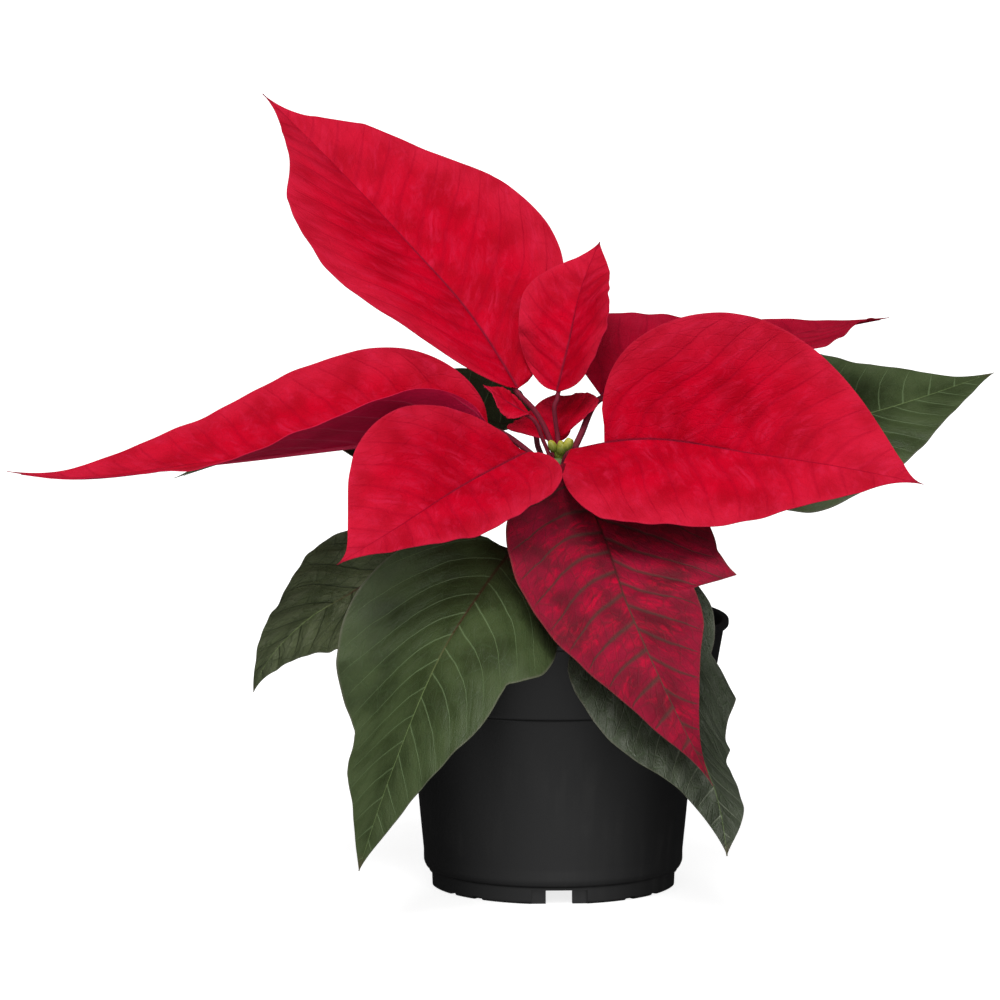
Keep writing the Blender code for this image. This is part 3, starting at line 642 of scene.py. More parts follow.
def stalk_route(spec, count):
    """Centres and radii of the stalk and the midrib under the blade, and the share of it that is stalk."""
    first = spec["stalk"][0] if spec["stalk"] else spec["rib"][0]
    x, y = stem_centre(spec["height"])
    away = np.array((first[0] - x, first[1] - y, 0.0))
    away /= np.linalg.norm(away)
    root = np.array((x, y, spec["height"])) + away * (stem_radius(spec["height"]) + 0.3)
    rib_places = smooth_path(spec["rib"], np.linspace(0, 1, 25))[0]
    route = np.array([root, *spec["stalk"], *rib_places], float)
    lengths = np.linalg.norm(np.diff(route, axis=0), axis=1)
    blade_at = lengths[: len(spec["stalk"]) + 1].sum() / lengths.sum()
    stations = np.linspace(0, 1, count) ** 1.1
    stations = stations * (blade_at + 0.97 * (1 - blade_at))
    places, directions = smooth_path(route, stations)
    _, up = level_frame(directions)
    on_blade = np.clip((stations - blade_at) / (1 - blade_at), 0, 1)
    travelled = stations * lengths.sum()
    radii = spec["radius"] * (1 - on_blade) ** 0.75
    radii = np.maximum(radii, 0.12) * (1 + 0.35 * np.exp(-travelled / 1.6))
    sunk = (radii + 0.22) * np.clip(stations / blade_at, 0, 1) ** 1.5
    centres = places - up * sunk[:, None]
    centres = np.vstack([centres[0] - away * 1.2, centres])
    radii = np.concatenate([[radii[0]], radii])
    return centres, radii, np.concatenate([[0.0], travelled]), np.concatenate([[0.0], on_blade])


def grow_blade(name, spec, finish, spacing, quilting):
    """A leaf or bract: both faces of its blade, its margin, and its stalk running on as the midrib."""
    small = spec["width"] < SMALL_BLADE
    rows = 90 if small else 150
    steps = 20 if small else 32
    even = np.linspace(0, 1, rows)
    stations = 0.65 * even + 0.35 * 0.5 * (1 - np.cos(np.pi * even))
    outs = np.linspace(0, 1, steps + 1) ** 1.22
    places, directions = smooth_path(spec["rib"], stations)
    length = np.linalg.norm(np.diff(np.array(spec["rib"], float), axis=0), axis=1).sum()
    along = (stations * length)[:, None]
    ruffle = 0.37 * spec["width"] % 1
    tables = []
    for side, sign, offset in ((spec["left"], -1, 0.0), (spec["right"], 1, 0.45)):
        surface, distance = side_surface(
            side, spec["width"], stations, outs, places, directions, sign, ruffle)
        wander = 0.08 * np.sin(0.21 * distance + 0.9 * sign + 6 * ruffle)
        wander = wander + 0.07 * np.sin(0.11 * along + 2.0 * sign + 0.08 * distance)
        phase = (along - LEAN_OUT * distance - VEIN_ARCH * distance**2) / spacing + offset + wander
        tables.append((surface, distance * sign, phase))
    grid = np.concatenate([tables[0][0][:, :0:-1], tables[1][0]], axis=1)
    lateral = np.concatenate([tables[0][1][:, :0:-1], tables[1][1]], axis=1)
    pad = np.zeros((rows, steps))
    left_phase = np.concatenate([tables[0][2][:, ::-1], pad], axis=1)
    right_phase = np.concatenate([pad, tables[1][2]], axis=1)
    own_phase = np.concatenate([tables[0][2][:, :0:-1], tables[1][2]], axis=1)
    out_full = np.concatenate([outs[:0:-1], outs])[None, :] * np.ones((rows, 1))

    normal = np.cross(np.gradient(grid, axis=1), np.gradient(grid, axis=0))
    normal /= np.linalg.norm(normal, axis=2)[:, :, None]
    away = np.abs(lateral)
    fade = np.clip(away / 5, 0, 1) * (1 - out_full**5) * np.sin(np.pi * stations[:, None]) ** 0.4
    puff = np.sin(np.pi * own_phase) ** 2 - 0.6
    relief = quilting * puff * fade
    groove_width = 1.1 - 0.5 * stations[:, None]
    relief = relief - RIB_GROOVE * np.exp(-(away / groove_width) ** 2) * (1 - stations[:, None])
    thick = BLADE * (1 - 0.45 * out_full**4) * (0.45 + 0.55 * np.clip((1 - stations[:, None]) / 0.1, 0, 1))
    top = grid + normal * (thick / 2 + relief)[:, :, None]
    under = grid + normal * (relief * 0.9 - thick / 2)[:, :, None]

    columns = 2 * steps + 1
    count = rows * columns
    row, column = np.meshgrid(np.arange(rows - 1), np.arange(columns - 1), indexing="ij")
    a = (row * columns + column).ravel()
    quads = np.stack([a, a + 1, a + columns + 1, a + columns], axis=1)
    on_left = (column.ravel() < steps)[:, None]
    quad_phase = np.where(on_left, left_phase.ravel()[quads], right_phase.ravel()[quads])
    edge = list(range(columns))
    edge += [r * columns + columns - 1 for r in range(1, rows)]
    edge += [(rows - 1) * columns + c for c in range(columns - 2, -1, -1)]
    edge += [r * columns for r in range(rows - 2, 0, -1)]
    edge = np.array(edge)
    after = np.roll(edge, -1)
    rim = np.stack([after, edge, edge + count, after + count], axis=1)
    turn_round = [3, 2, 1, 0]
    faces = np.concatenate([quads, quads[:, turn_round] + count, rim])
    own = np.concatenate([own_phase.ravel(), own_phase.ravel()])
    corner_phase = np.concatenate([quad_phase, quad_phase[:, turn_round], own[rim]]).ravel()
    corner_of = faces.ravel() % count
    corner_along = np.repeat(stations * length, columns)[corner_of]
    corner_across = lateral.ravel()[corner_of]
    corner_out = out_full.ravel()[corner_of]
    corner_under = np.concatenate([np.zeros(quads.size), np.ones(quads.size), np.full(rim.size, 0.5)])

    centres, radii, travelled, on_blade = stalk_route(spec, 46 if small else 70)
    stalk_points = tube_rings(centres, radii, STALK_SIDES)
    stalk_faces = tube_faces(len(centres), STALK_SIDES, 2 * count)
    stalk_corner = np.concatenate([np.array(face) for face in stalk_faces]) - 2 * count
    points = np.concatenate([top.reshape(-1, 3), under.reshape(-1, 3), np.array(stalk_points)])
    piece = mesh_piece(name + "_blade", points, [*faces.tolist(), *stalk_faces], [finish], sharp=65)

    mesh = piece.data
    stalk_size = len(stalk_corner)
    stalk_ring = stalk_corner // STALK_SIDES
    along_all = np.concatenate([corner_along, travelled[stalk_ring]])
    across_all = np.concatenate([corner_across, 0.8 * (stalk_corner % STALK_SIDES)])
    chart = mesh.uv_layers.new(name="blade_chart")
    chart.data.foreach_set("uv", np.stack([along_all, across_all], axis=1).ravel() * 0.01)
    maps = {
        "vein": np.concatenate([corner_phase, np.full(stalk_size, 0.5)]),
        "spread": np.concatenate([corner_out, np.zeros(stalk_size)]),
        "beside": np.concatenate([np.abs(corner_across), np.zeros(stalk_size)]),
        "station": np.concatenate([corner_along / length, on_blade[stalk_ring]]),
        "under": np.concatenate([corner_under, np.ones(stalk_size)]),
        "stalk": np.concatenate([np.zeros(len(corner_under)), np.ones(stalk_size)]),
    }
    for label, values in maps.items():
        layer = mesh.attributes.new(label, "FLOAT", "CORNER")
        layer.data.foreach_set("value", values.astype(np.float32))
    return piece


def stored(tree, label):
    """A value kept on the blade's corners."""
    return node(tree, "ShaderNodeAttribute", attribute_name=label).outputs["Fac"]


def vein_group():
    """Masks and height for the midrib, the side veins, the fine net between them and the streaks along the
    veins, which also carry the painted sheen.
    """
    group = bpy.data.node_groups.new("blade_veins", "ShaderNodeTree")
    for label, low in (("Vein Spacing", 10.0), ("Vein Width", 0.5), ("Net Scale", 30.0), ("Net Depth", 0.3)):
        group.interface.new_socket(label, in_out="INPUT", socket_type="NodeSocketFloat").default_value = low
    for label in ("Midrib", "Side Veins", "Net", "Puff", "Mottle", "Streaks And Sheen", "Height"):
        group.interface.new_socket(label, in_out="OUTPUT", socket_type="NodeSocketFloat")
    given = group.nodes.new("NodeGroupInput").outputs
    result = group.nodes.new("NodeGroupOutput").inputs
    vein = stored(group, "vein")
    spread_out = stored(group, "spread")
    beside = stored(group, "beside")
    station = stored(group, "station")
    chart = node(group, "ShaderNodeUVMap", uv_map="blade_chart").outputs["UV"]
    drift = calculate(group, "SUBTRACT", noise(group, chart, 9.0, 3.0), 0.5)
    drift = calculate(group, "MULTIPLY", drift, 0.16)
    wandering = calculate(group, "ADD", vein, drift)
    to_vein = calculate(group, "PINGPONG", wandering, 0.5)
    vein_mm = calculate(group, "MULTIPLY", to_vein, given["Vein Spacing"])
    taper = spread(group, spread_out, 0.0, 1.0, 1.0, 0.3)
    half_vein = calculate(group, "MULTIPLY", given["Vein Width"], taper)
    side_veins = spread(group, vein_mm, half_vein, 0.0)
    side_veins = calculate(group, "MULTIPLY", side_veins, spread(group, spread_out, 1.0, 0.86))
    rib_wide = spread(group, station, 0.0, 1.0, 0.95, 0.22)
    midrib = spread(group, beside, rib_wide, 0.0)
    parts = node(group, "ShaderNodeSeparateXYZ", {0: chart}).outputs
    aslant = calculate(group, "MULTIPLY", wandering, given["Vein Spacing"])
    aslant = calculate(group, "MULTIPLY", aslant, 0.0065)
    slanted = node(group, "ShaderNodeCombineXYZ", {0: aslant, 1: parts["Y"], 2: 0.0}).outputs[0]
    cells = node(group, "ShaderNodeTexVoronoi", {
        "Vector": slanted, "Scale": given["Net Scale"], "Randomness": 0.85,
    }, feature="DISTANCE_TO_EDGE", voronoi_dimensions="2D").outputs["Distance"]
    net = spread(group, cells, 0.10, 0.0)
    small_cells = calculate(group, "MULTIPLY", given["Net Scale"], 3.3)
    fine_cells = node(group, "ShaderNodeTexVoronoi", {
        "Vector": chart, "Scale": small_cells,
    }, feature="DISTANCE_TO_EDGE", voronoi_dimensions="2D").outputs["Distance"]
    fine_net = spread(group, fine_cells, 0.14, 0.0)
    mottle = noise(group, chart, 6.0, 5.0)
    along_vein = calculate(group, "MULTIPLY", parts["Y"], 0.45)
    fold_way = node(group, "ShaderNodeCombineXYZ", {0: aslant, 1: along_vein, 2: 0.0}).outputs[0]
    streaks_and_sheen = node(group, "ShaderNodeTexNoise", {
        "Vector": fold_way, "Scale": 30.0, "Detail": 6.0, "Roughness": 0.72, "Distortion": 0.8,
    }).outputs["Fac"]
    puff = spread(group, to_vein, 0.04, 0.42)
    height = calculate(group, "MULTIPLY", puff, 0.55)
    height = calculate(group, "ADD", height, calculate(group, "MULTIPLY", streaks_and_sheen, 1.6))
    height = calculate(group, "SUBTRACT", height, calculate(group, "MULTIPLY", side_veins, 0.5))
    relief = calculate(group, "MULTIPLY", net, 0.6)
    relief = calculate(group, "ADD", relief, calculate(group, "MULTIPLY", fine_net, 0.25))
    height = calculate(group, "SUBTRACT", height, calculate(group, "MULTIPLY", relief, given["Net Depth"]))
    for label, value in (("Midrib", midrib), ("Side Veins", side_veins), ("Net", net), ("Puff", puff),
                         ("Mottle", mottle), ("Streaks And Sheen", streaks_and_sheen), ("Height", height)):
        group.links.new(value, result[label])
    return group


blade_veins = vein_group()


def blade_finish(name, colours, spacing, roughness, specular, strength):
    """The skin of a leaf or bract, with a painted sheen on its puffs. Colours go from its face and its veins
    to its back and its stalk.
    """
    made, tree, shader = new_finish(name, roughness, specular)
    veins = node(tree, "ShaderNodeGroup", node_tree=blade_veins)
    veins.inputs["Vein Spacing"].default_value = spacing
    veins.inputs["Vein Width"].default_value = colours["vein_width"]
    veins.inputs["Net Scale"].default_value = 26.0
    veins.inputs["Net Depth"].default_value = 0.30
    mask = veins.outputs
    under = stored(tree, "under")
    stalk = stored(tree, "stalk")
    station = stored(tree, "station")
    margin = stored(tree, "spread")
    face = mix_colour(tree, spread(tree, mask["Mottle"], 0.35, 0.65), colours["deep"], colours["bright"])
    # Painted sheen: lighter streaks over the puffs between the veins stand in for the soft sheen highlight.
    # On the turning bract the same streaks carry its own red instead.
    streaks_and_sheen_mask = spread(tree, mask["Streaks And Sheen"], 0.44, 0.78, 0.0, colours["streaks_and_sheen_share"])
    streaks_and_sheen_mask = calculate(tree, "MULTIPLY", streaks_and_sheen_mask, spread(tree, mask["Puff"], 0.0, 1.0, 0.45, 1.0))
    by_tip = spread(tree, station, 0.45, 1.0, 0.0, 0.5)
    by_margin = spread(tree, margin, 0.5, 1.0, 0.0, 0.45)
    old = calculate(tree, "MAXIMUM", by_tip, by_margin)
    veil = calculate(tree, "MULTIPLY", old, spread(tree, mask["Mottle"], 0.3, 0.7, 0.35, 1.0))
    face = mix_colour(tree, streaks_and_sheen_mask, face, colours["streaks_and_sheen"])
    face = mix_colour(tree, veil, face, colours["veil"])
    net = calculate(tree, "MULTIPLY", mask["Net"], colours["net_share"])
    face = mix_colour(tree, net, face, colours["net"])
    side_veins = calculate(tree, "MULTIPLY", mask["Side Veins"], colours["vein_share"])
    face = mix_colour(tree, side_veins, face, colours["vein"])
    near_stalk = spread(tree, station, 0.60, 0.34)
    rib = mix_colour(tree, near_stalk, colours["rib"], colours["rib_base"])
    face = mix_colour(tree, calculate(tree, "MULTIPLY", mask["Midrib"], 0.85), face, rib)
    # Painted highlight: the outer edge is painted lighter, as the rim catching the light.
    face = mix_colour(tree, spread(tree, margin, 0.975, 1.0, 0.0, 0.5), face, colours["margin"])
    face = mix_colour(tree, spread(tree, station, 0.95, 1.0, 0.0, 0.85), face, colours["tip"])
    # The back is the underside's own paler colour. On the bracts it is also lifted, as painted light shining
    # through the thin blade.
    back = mix_colour(tree, spread(tree, mask["Mottle"], 0.3, 0.7), colours["back"], colours["back_light"])
    back = mix_colour(tree, calculate(tree, "MULTIPLY", mask["Side Veins"], 0.6), back, colours["back_vein"])
    skin = mix_colour(tree, under, face, back)
    shaft = mix_colour(tree, spread(tree, station, 0.0, 0.35), colours["stalk"], colours["back_vein"])
    skin = mix_colour(tree, stalk, skin, shaft)
    tree.links.new(skin, shader.inputs["Base Color"])
    patchy = spread(tree, mask["Mottle"], 0.3, 0.7, roughness - 0.05, roughness + 0.07)
    tree.links.new(patchy, shader.inputs["Roughness"])
    flip = spread(tree, under, 0.0, 1.0, 1.0, -1.0)
    roughen(tree, shader, calculate(tree, "MULTIPLY", mask["Height"], flip), strength, 0.0009)
    return made


LEAF_SPACING = 10.0  # between side veins
LEAF_QUILTING = 0.24
STRONG_QUILTING = 0.60
# Painted sheen: the leaves' lighter streak colour is the sheen highlight painted on the puffs.
leaf_colours = dict(
    deep=(0.024, 0.036, 0.011), bright=(0.040, 0.060, 0.019), streaks_and_sheen=(0.060, 0.075, 0.038),
    streaks_and_sheen_share=0.35, veil=(0.060, 0.080, 0.034), tip=(0.070, 0.055, 0.030),
    net=(0.040, 0.066, 0.024), net_share=0.3, vein=(0.115, 0.165, 0.075), vein_share=0.66, vein_width=0.60,
    rib=(0.135, 0.190, 0.070), rib_base=(0.045, 0.018, 0.009), margin=(0.120, 0.110, 0.085),
    back=(0.065, 0.090, 0.045), back_light=(0.085, 0.110, 0.058), back_vein=(0.130, 0.170, 0.090),
    stalk=(0.200, 0.035, 0.060),
)
leaf_green = blade_finish("leaf_green", leaf_colours, LEAF_SPACING, 0.46, 0.20, 0.4)
# The quilted leaf's painted sheen is greyer and covers more of it.
quilted_colours = dict(
    leaf_colours, deep=(0.028, 0.036, 0.019), bright=(0.048, 0.060, 0.034), streaks_and_sheen=(0.130, 0.138, 0.112),
    streaks_and_sheen_share=0.65, vein=(0.170, 0.190, 0.135), vein_width=0.85, veil=(0.070, 0.082, 0.058),
)
furrowed_colours = dict(
    leaf_colours, deep=(0.034, 0.046, 0.018), bright=(0.056, 0.072, 0.030), streaks_and_sheen=(0.120, 0.135, 0.080),
    # Painted shade: the side veins and the fine net below are painted near-black for the shadow in this
    # leaf's sunken veins.
    streaks_and_sheen_share=0.70, vein=(0.012, 0.018, 0.007), vein_width=0.60, veil=(0.070, 0.088, 0.042),
    net=(0.024, 0.034, 0.012), net_share=0.5,
)
leaf_quilted = blade_finish("leaf_quilted", quilted_colours, LEAF_SPACING, 0.40, 0.36, 1.0)
leaf_furrowed = blade_finish("leaf_furrowed", furrowed_colours, LEAF_SPACING, 0.45, 0.25, 1.0)

LEAVES = {
    "leaf_front_left": dict(
        width=40, height=112, stalk=[(-5, -11, 117)], radius=1.2,
        rib=[(-11, -20, 122), (-23, -46, 110), (-37, -66, 91), (-53, -80, 55), (-65, -86, 20)],
        right=half(0.35, 0.50, 1.0, (50, -10, 10), 20, 0.30, start=0.065, lobes=[(0.62, -3, 0.08, 0.08)]),
        left=half(0.20, 0.70, 1.2, (-50, 5, -20), -20, 0.35,
                  lobes=[(0.20, -9, 0.16, 0.16), (0.42, -6, 0.08, 0.12)])),
    "leaf_left": dict(
        width=28, height=108, stalk=[(-20, -3, 115)], radius=1.1,
        rib=[(-45, -6, 118), (-67, -10, 103), (-85, -14, 92), (-99, -18, 76), (-102, -19, 69)],
        right=half(0.40, 0.75, 1.0, (70, 15, 0), 10, 0.10),
        left=half(0.40, 0.75, 1.25, (-35, -25, -10), 10, 0.10)),
    "leaf_front_right": dict(
        width=32, height=104, stalk=[(12, -14, 112)], radius=1.2,
        rib=[(20, -29, 116), (32, -59, 96), (44, -74, 68), (54, -82, 42.5), (57, -86, 25)],
        right=half(0.40, 0.75, 1.3, (-5, -25, 10), 0, 0.10, lobes=[(0.15, -7, 0.14, 0.18)]),
        left=half(0.50, 0.45, 1.20, (40, -30, 15), 10, 0.25,
                  lobes=[(0.33, -6, 0.14, 0.10), (0.43, 7, 0.08, 0.34)])),
    "leaf_right": dict(
        width=35, height=122, stalk=[(20, 12, 134)], radius=1.2,
        rib=[(47, 30, 143), (86, 55, 149), (119, 74, 155), (156, 92, 165)],
        right=half(0.30, 0.75, 1.05, (-50, -25, -5), -10, 0.05),
        left=half(0.35, 0.75, 1.15, (65, 35, 0), 20, 0.10, lobes=[(0.80, 2, 0.10, 0.10)])),
    "leaf_back_left": dict(
        width=31, height=127, stalk=[(-8, 10, 142)], radius=1.1,
        rib=[(-22, 22, 155), (-53, 31, 154), (-94, 36, 147), (-131, 36, 135)],
        right=half(0.30, 0.85, 1.2, (70, 20, 20), 15, 0.05),
        left=half(0.30, 0.75, 1.25, (-50, 0, 30), 5, 0.15)),
    "leaf_back": dict(
        width=20, height=131, stalk=[(-1, 14, 138), (-5, 30, 147)], radius=1.0,
        rib=[(-8, 44, 153), (-22, 60, 152), (-46, 82, 168)],
        right=half(0.50, 0.75, 1.2, (20, 25, 60), 0, 0.10),
        left=half(0.40, 0.75, 1.2, (-15, -10, 0), 5, 0.10)),
}
for leaf_name, leaf_spec in LEAVES.items():
    leaf_skin = {"leaf_left": leaf_furrowed, "leaf_front_right": leaf_quilted}.get(leaf_name, leaf_green)
    quilting = LEAF_QUILTING if leaf_skin == leaf_green else STRONG_QUILTING
    leaf = grow_blade(leaf_name, leaf_spec, leaf_skin, LEAF_SPACING, quilting)
    fasten(leaf, leaf_name)

# The bracts: coloured leaves round the flowers, softer and more velvety than the green ones. Most are bright
# red; the one at the back right is duller and the drooping one at the front is still turning from green.
# Painted sheen: the bracts' pinker streak colour is the velvety sheen highlight painted on the puffs.
red_colours = dict(
    deep=(0.325, 0.0001, 0.0085), bright=(0.430, 0.0001, 0.0128), streaks_and_sheen=(0.490, 0.0110, 0.046),
    streaks_and_sheen_share=0.72, veil=(0.500, 0.0200, 0.054), tip=(0.110, 0.0080, 0.018),
    net=(0.300, 0.0003, 0.010), net_share=0.12, vein=(0.260, 0.0004, 0.012), vein_share=0.30, vein_width=1.7,
    rib=(0.230, 0.0008, 0.012), rib_base=(0.140, 0.0060, 0.020), margin=(0.420, 0.0150, 0.040),
    back=(0.400, 0.0050, 0.036), back_light=(0.470, 0.0080, 0.048), back_vein=(0.500, 0.0300, 0.080),
    stalk=(0.150, 0.0160, 0.030),
)
dull_colours = dict(
    red_colours, deep=(0.250, 0.0010, 0.013), bright=(0.310, 0.0012, 0.016), streaks_and_sheen=(0.340, 0.0090, 0.032),
    veil=(0.300, 0.0090, 0.030), tip=(0.030, 0.0060, 0.008),
    net=(0.220, 0.0010, 0.012), vein=(0.160, 0.0010, 0.012), margin=(0.260, 0.0120, 0.030),
    rib=(0.150, 0.0040, 0.014), rib_base=(0.140, 0.0100, 0.035),
    back=(0.300, 0.0010, 0.015), back_light=(0.350, 0.0015, 0.018), back_vein=(0.190, 0.0040, 0.020),
)
# On the turning bract the streak colour is its own red showing on the puffs, not a painted sheen.
turning_colours = dict(
    red_colours, deep=(0.105, 0.0060, 0.014), bright=(0.220, 0.0045, 0.023), streaks_and_sheen=(0.480, 0.0003, 0.026),
    streaks_and_sheen_share=0.95, veil=(0.210, 0.0080, 0.026), tip=(0.075, 0.0400, 0.034),
    net=(0.090, 0.0120, 0.016), net_share=0.35, vein=(0.062, 0.0260, 0.022), vein_share=0.85, vein_width=1.7,
    rib=(0.060, 0.0380, 0.026), rib_base=(0.050, 0.0090, 0.010), margin=(0.130, 0.0400, 0.030),
    back=(0.200, 0.030, 0.045), back_light=(0.240, 0.040, 0.060), back_vein=(0.160, 0.060, 0.050),
)
BRACT_SPACING = 11.5
BRACT_QUILTING = 0.34
SMALL_SPACING = 6.5
SMALL_QUILTING = 0.20
bract_red = blade_finish("bract_red", red_colours, BRACT_SPACING, 0.66, 0.03, 0.45)
bract_small_red = blade_finish("bract_small_red", red_colours, SMALL_SPACING, 0.66, 0.03, 0.45)
bract_dull = blade_finish("bract_dull", dull_colours, BRACT_SPACING, 0.66, 0.03, 0.4)
bract_turning = blade_finish("bract_turning", turning_colours, BRACT_SPACING, 0.60, 0.08, 0.5)

BRACTS = {
    "bract_back_left": dict(
        width=41, height=143, stalk=[(-1, 7, 152), (-6.5, 10, 163)], radius=0.95,
        rib=[(-12, 12, 169), (-29, 25, 194), (-49, 41, 215), (-66, 53, 232), (-101, 75, 265)],
        right=half(0.30, 0.60, 1.4, (50, 35, 45), 20, 0.05,
                   lobes=[(0.47, 1.5, 0.25, 0.20), (0.77, 3, 0.20, 0.12)]),
        left=half(0.40, 0.50, 1.6, (0, 0, 15), -15, 0.35,
                  lobes=[(0.60, 1.6, 0.15, 0.12), (0.84, 1.6, 0.12, 0.10)])),
    "bract_centre_back": dict(
        width=19, height=145, stalk=[(1.6, 5.5, 153)], radius=0.8,
        rib=[(1, 5.5, 169), (5, 10, 184), (9, 17, 201), (16, 27, 218)],
        right=half(0.40, 0.50, 1.15, (-10, 25, -20), 0, 0.10, wave=(0.5, 2, 0.2)),
        left=half(0.50, 0.42, 1.3, (5, 30, -10), 5, 0.0, wave=(0.5, 2, 0.6))),
    "bract_small_back": dict(
        width=18, height=138, stalk=[(1.6, 7.5, 145)], radius=0.8,
        rib=[(1, 9, 151), (1, 15, 160), (1, 22, 166)],
        right=half(0.35, 0.75, 1.2, (50, 30, 30), 10, 0.10, wave=(0.3, 2, 0.0)),
        left=half(0.35, 0.80, 1.2, (0, -30, -15), 10, 0.10, wave=(0.3, 2, 0.5))),
    "bract_small_left": dict(
        width=8, height=145.5, stalk=[(-3, 0.6, 152)], radius=0.7,
        rib=[(-8, -1, 162), (-17, -1, 167), (-24, -1, 172)],
        right=half(0.45, 0.75, 1.2, (20, 15, 25), 10, 0.15, wave=(0.2, 2, 0.0)),
        left=half(0.35, 0.70, 1.2, (-25, -30, 10), 5, 0.05, wave=(0.2, 2, 0.5))),
    "bract_left": dict(
        width=36, height=141, stalk=[(-9, -1.2, 150)], radius=1.0,
        rib=[(-22, -2, 158), (-71, -6, 152), (-120, -8, 146), (-171, -6, 141), (-186, -6, 143)],
        right=half(0.30, 0.50, 1.3, (75, 27, 12), 20, -0.10),
        left=half(0.35, 0.65, 1.3, (66, 8, 12), 3, 0.0)),
    "bract_front_left": dict(
        width=34, height=143, stalk=[(-4.5, -5, 147)], radius=1.0,
        rib=[(-9, -8, 150), (-31, -36, 142), (-54, -66, 131), (-72, -82, 122)],
        right=half(0.45, 0.70, 1.35, (50, 45, -15), 10, 0.05),
        left=half(0.25, 0.75, 1.4, (10, -10, -25), 0, 0.10)),
    "bract_right": dict(
        width=46, height=144, stalk=[], radius=1.0,
        rib=[(6, -7, 151), (29, -14, 155), (68, -30, 152), (98, -44, 149), (123, -54, 145)],
        right=half(0.22, 0.45, 1.4, (-15, -35, -50), -5, -0.10),
        left=half(0.42, 0.42, 1.15, (85, 80, 20), 5, 0.0, start=0.095)),
    "bract_back_right": dict(
        width=32, height=143, stalk=[(9, 5, 154)], radius=1.15,
        rib=[(16, 12, 167), (51, 35, 176), (86, 56, 183), (118, 75, 186.5)],
        right=half(0.50, 0.75, 1.3, (20, -5, 20), 15, 0.20),
        left=half(0.22, 0.40, 1.1, (60, 18, 0), 10, -0.30)),
    "bract_front": dict(
        width=37, height=136, stalk=[], radius=1.1,
        rib=[(6, -9, 144), (15, -28, 128), (25, -66, 104), (42, -88, 69), (52, -94, 50)],
        right=half(0.30, 0.75, 1.25, (50, -10, -20), 10, -0.05),
        left=half(0.25, 0.75, 1.40, (5, 0, 15), 10, -0.05,
                  lobes=[(0.46, 8, 0.12, 0.01), (0.48, -7, 0.02, 0.12)])),
}
for bract_name, bract_spec in BRACTS.items():
    bract_slot = {"bract_back_right": "bract_dull", "bract_front": "bract_turning"}.get(bract_name, "bract")
    if bract_spec["width"] < SMALL_BLADE:
        bract_skin, bract_gap, quilting = bract_small_red, SMALL_SPACING, SMALL_QUILTING
    else:
        bract_skin = {"bract_dull": bract_dull, "bract_turning": bract_turning}.get(bract_slot, bract_red)
        bract_gap, quilting = BRACT_SPACING, BRACT_QUILTING
    bract = grow_blade(bract_name, bract_spec, bract_skin, bract_gap, quilting)
    fasten(bract, bract_name)

# The true flowers: four small green cups and buds crowded on the stem's tip, ripening to yellow at the top.
# Each grows on a short neck from one shared base.
NECK_RADIUS = 0.8
NECK_RINGS = 6
NECK_SIDES = 10
OPENING = 0.8  # the share of an open cup's height where its mouth begins
flower_foot = STEM_TOP_Z + 0.3
flower_x = stem_centre(STEM_TOP_Z)[0]


def egg_shape(centre, radius, stretch, lean, mouth):
    """Points and faces of a ribbed cup or closed bud on a leaning axis."""
    profile = []
    for share in np.linspace(0, 1, 15):
        angle = math.pi * share
        wide = math.sin(angle) ** 0.9 * (1 + 0.12 * math.cos(angle))
        high = -math.cos(angle) * stretch
        if share > OPENING and mouth:
            high = -math.cos(math.pi * OPENING) * stretch - (share - OPENING) * 2.2
        profile.append((radius * wide, radius * high))
    profile[0] = (0, profile[0][1])
    profile[-1] = (0, profile[-1][1])
    points, faces = turned_mesh(profile, 20)
    points = np.array(points)
    around = np.arctan2(points[:, 1], points[:, 0])
    points[:, :2] *= (1 + 0.05 * np.cos(5 * around))[:, None]
    turn = np.array(Vector((0, 0, 1)).rotation_difference(Vector(lean).normalized()).to_matrix())
    return points @ turn.T + np.array(centre), faces


def gather(parts):
    """Several shapes as one list of points and faces."""
    points = []
    faces = []
    for part_points, part_faces in parts:
        first = len(points)
        points += [tuple(point) for point in part_points]
        faces += [[first + corner for corner in face] for face in part_faces]
    return points, faces


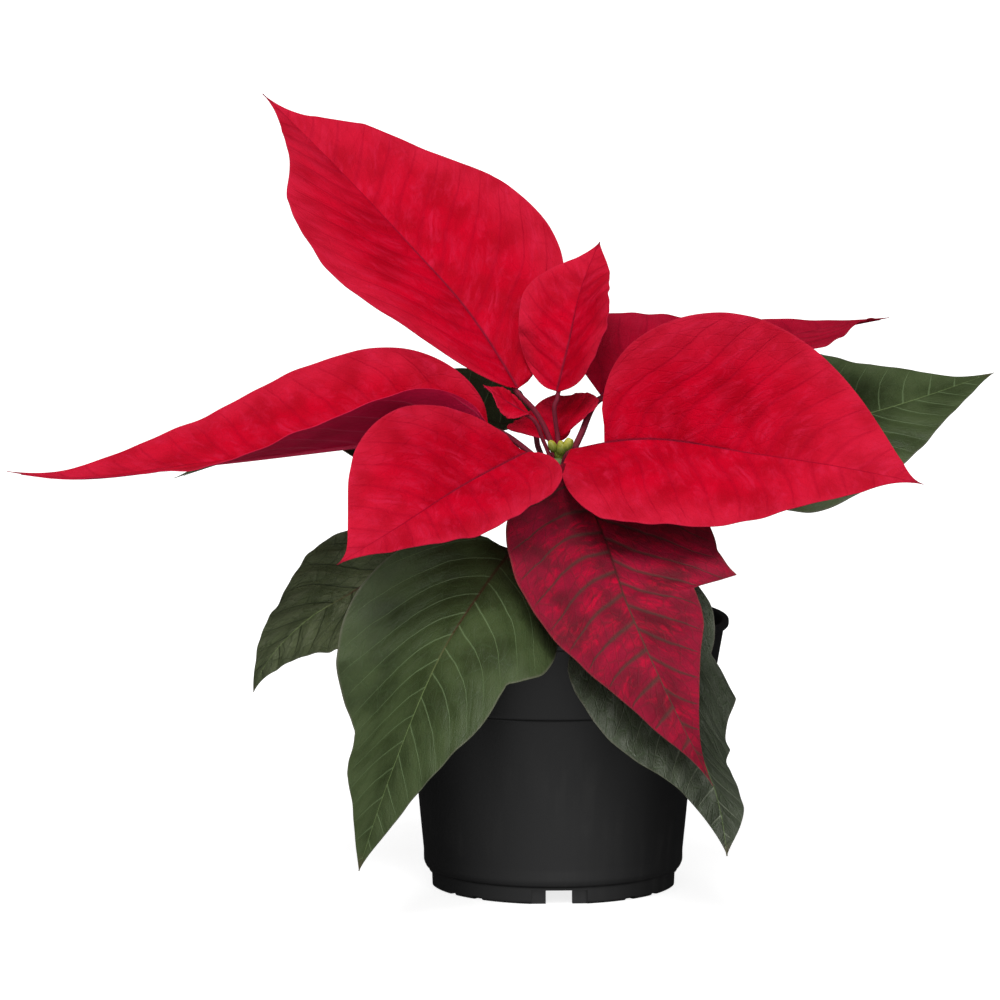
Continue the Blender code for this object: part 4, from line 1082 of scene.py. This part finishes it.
# Each bud: its middle, its radius, how much longer than wide it is, its lean, and whether it is open.
green_buds = [
    ((flower_x + 0.4, -1.4, flower_foot + 2.5), 1.75, 1.2, (0.1, -0.5, 1), True),
    ((flower_x - 2.6, -0.6, flower_foot + 3.6), 1.5, 1.5, (-0.5, -0.1, 1), False),
    ((flower_x + 2.7, -0.2, flower_foot + 4.2), 1.7, 1.6, (0.45, 0.0, 1), True),
    ((flower_x + 0.3, 1.0, flower_foot + 3.4), 1.4, 1.4, (0.0, 0.2, 1), False),
]
cups = [egg_shape(*bud) for bud in green_buds]
base_profile = [(0, flower_foot - 0.6), (1.7, flower_foot - 0.6), (2.1, flower_foot + 1.2),
                (1.6, flower_foot + 2.6), (0, flower_foot + 3.0)]
base_points, base_faces = turned_mesh(eased(base_profile, 0.4), 20)
cups.append((np.array(base_points) + np.array((flower_x, 0, 0)), base_faces))
for bud_centre, *_ in green_buds:
    foot = np.array((flower_x, 0, flower_foot + 1.2))
    neck = [foot + (np.array(bud_centre) - foot) * share for share in np.linspace(0, 1, NECK_RINGS)]
    neck_points = tube_rings(neck, [NECK_RADIUS] * NECK_RINGS, NECK_SIDES)
    cups.append((neck_points, tube_faces(NECK_RINGS, NECK_SIDES)))

cup_green, tree, shader = new_finish("flower_cup", 0.5, 0.35)
place = object_place(tree)
cloud = noise(tree, place, 420.0, 4.0)
pores = noise(tree, place, 2600.0, 2.0)
high = node(tree, "ShaderNodeSeparateXYZ", {0: place}).outputs["Z"]
speckled = spread(tree, cloud, 0.35, 0.6, 0.5, 1.0)
ripe = calculate(tree, "MULTIPLY", spread(tree, high, 0.1495, 0.1535), speckled)
cup_colour = mix_colour(tree, ripe, (0.105, 0.135, 0.012), (0.400, 0.370, 0.040))
tree.links.new(cup_colour, shader.inputs["Base Color"])
tree.links.new(spread(tree, cloud, 0.3, 0.7, 0.42, 0.6), shader.inputs["Roughness"])
roughen(tree, shader, pores, 0.3, 0.0002)
cup_points, cup_faces = gather(cups)
flowers = mesh_piece("flower_cups", cup_points, cup_faces, [cup_green], sharp=60)
fasten(flowers, "cyathia")
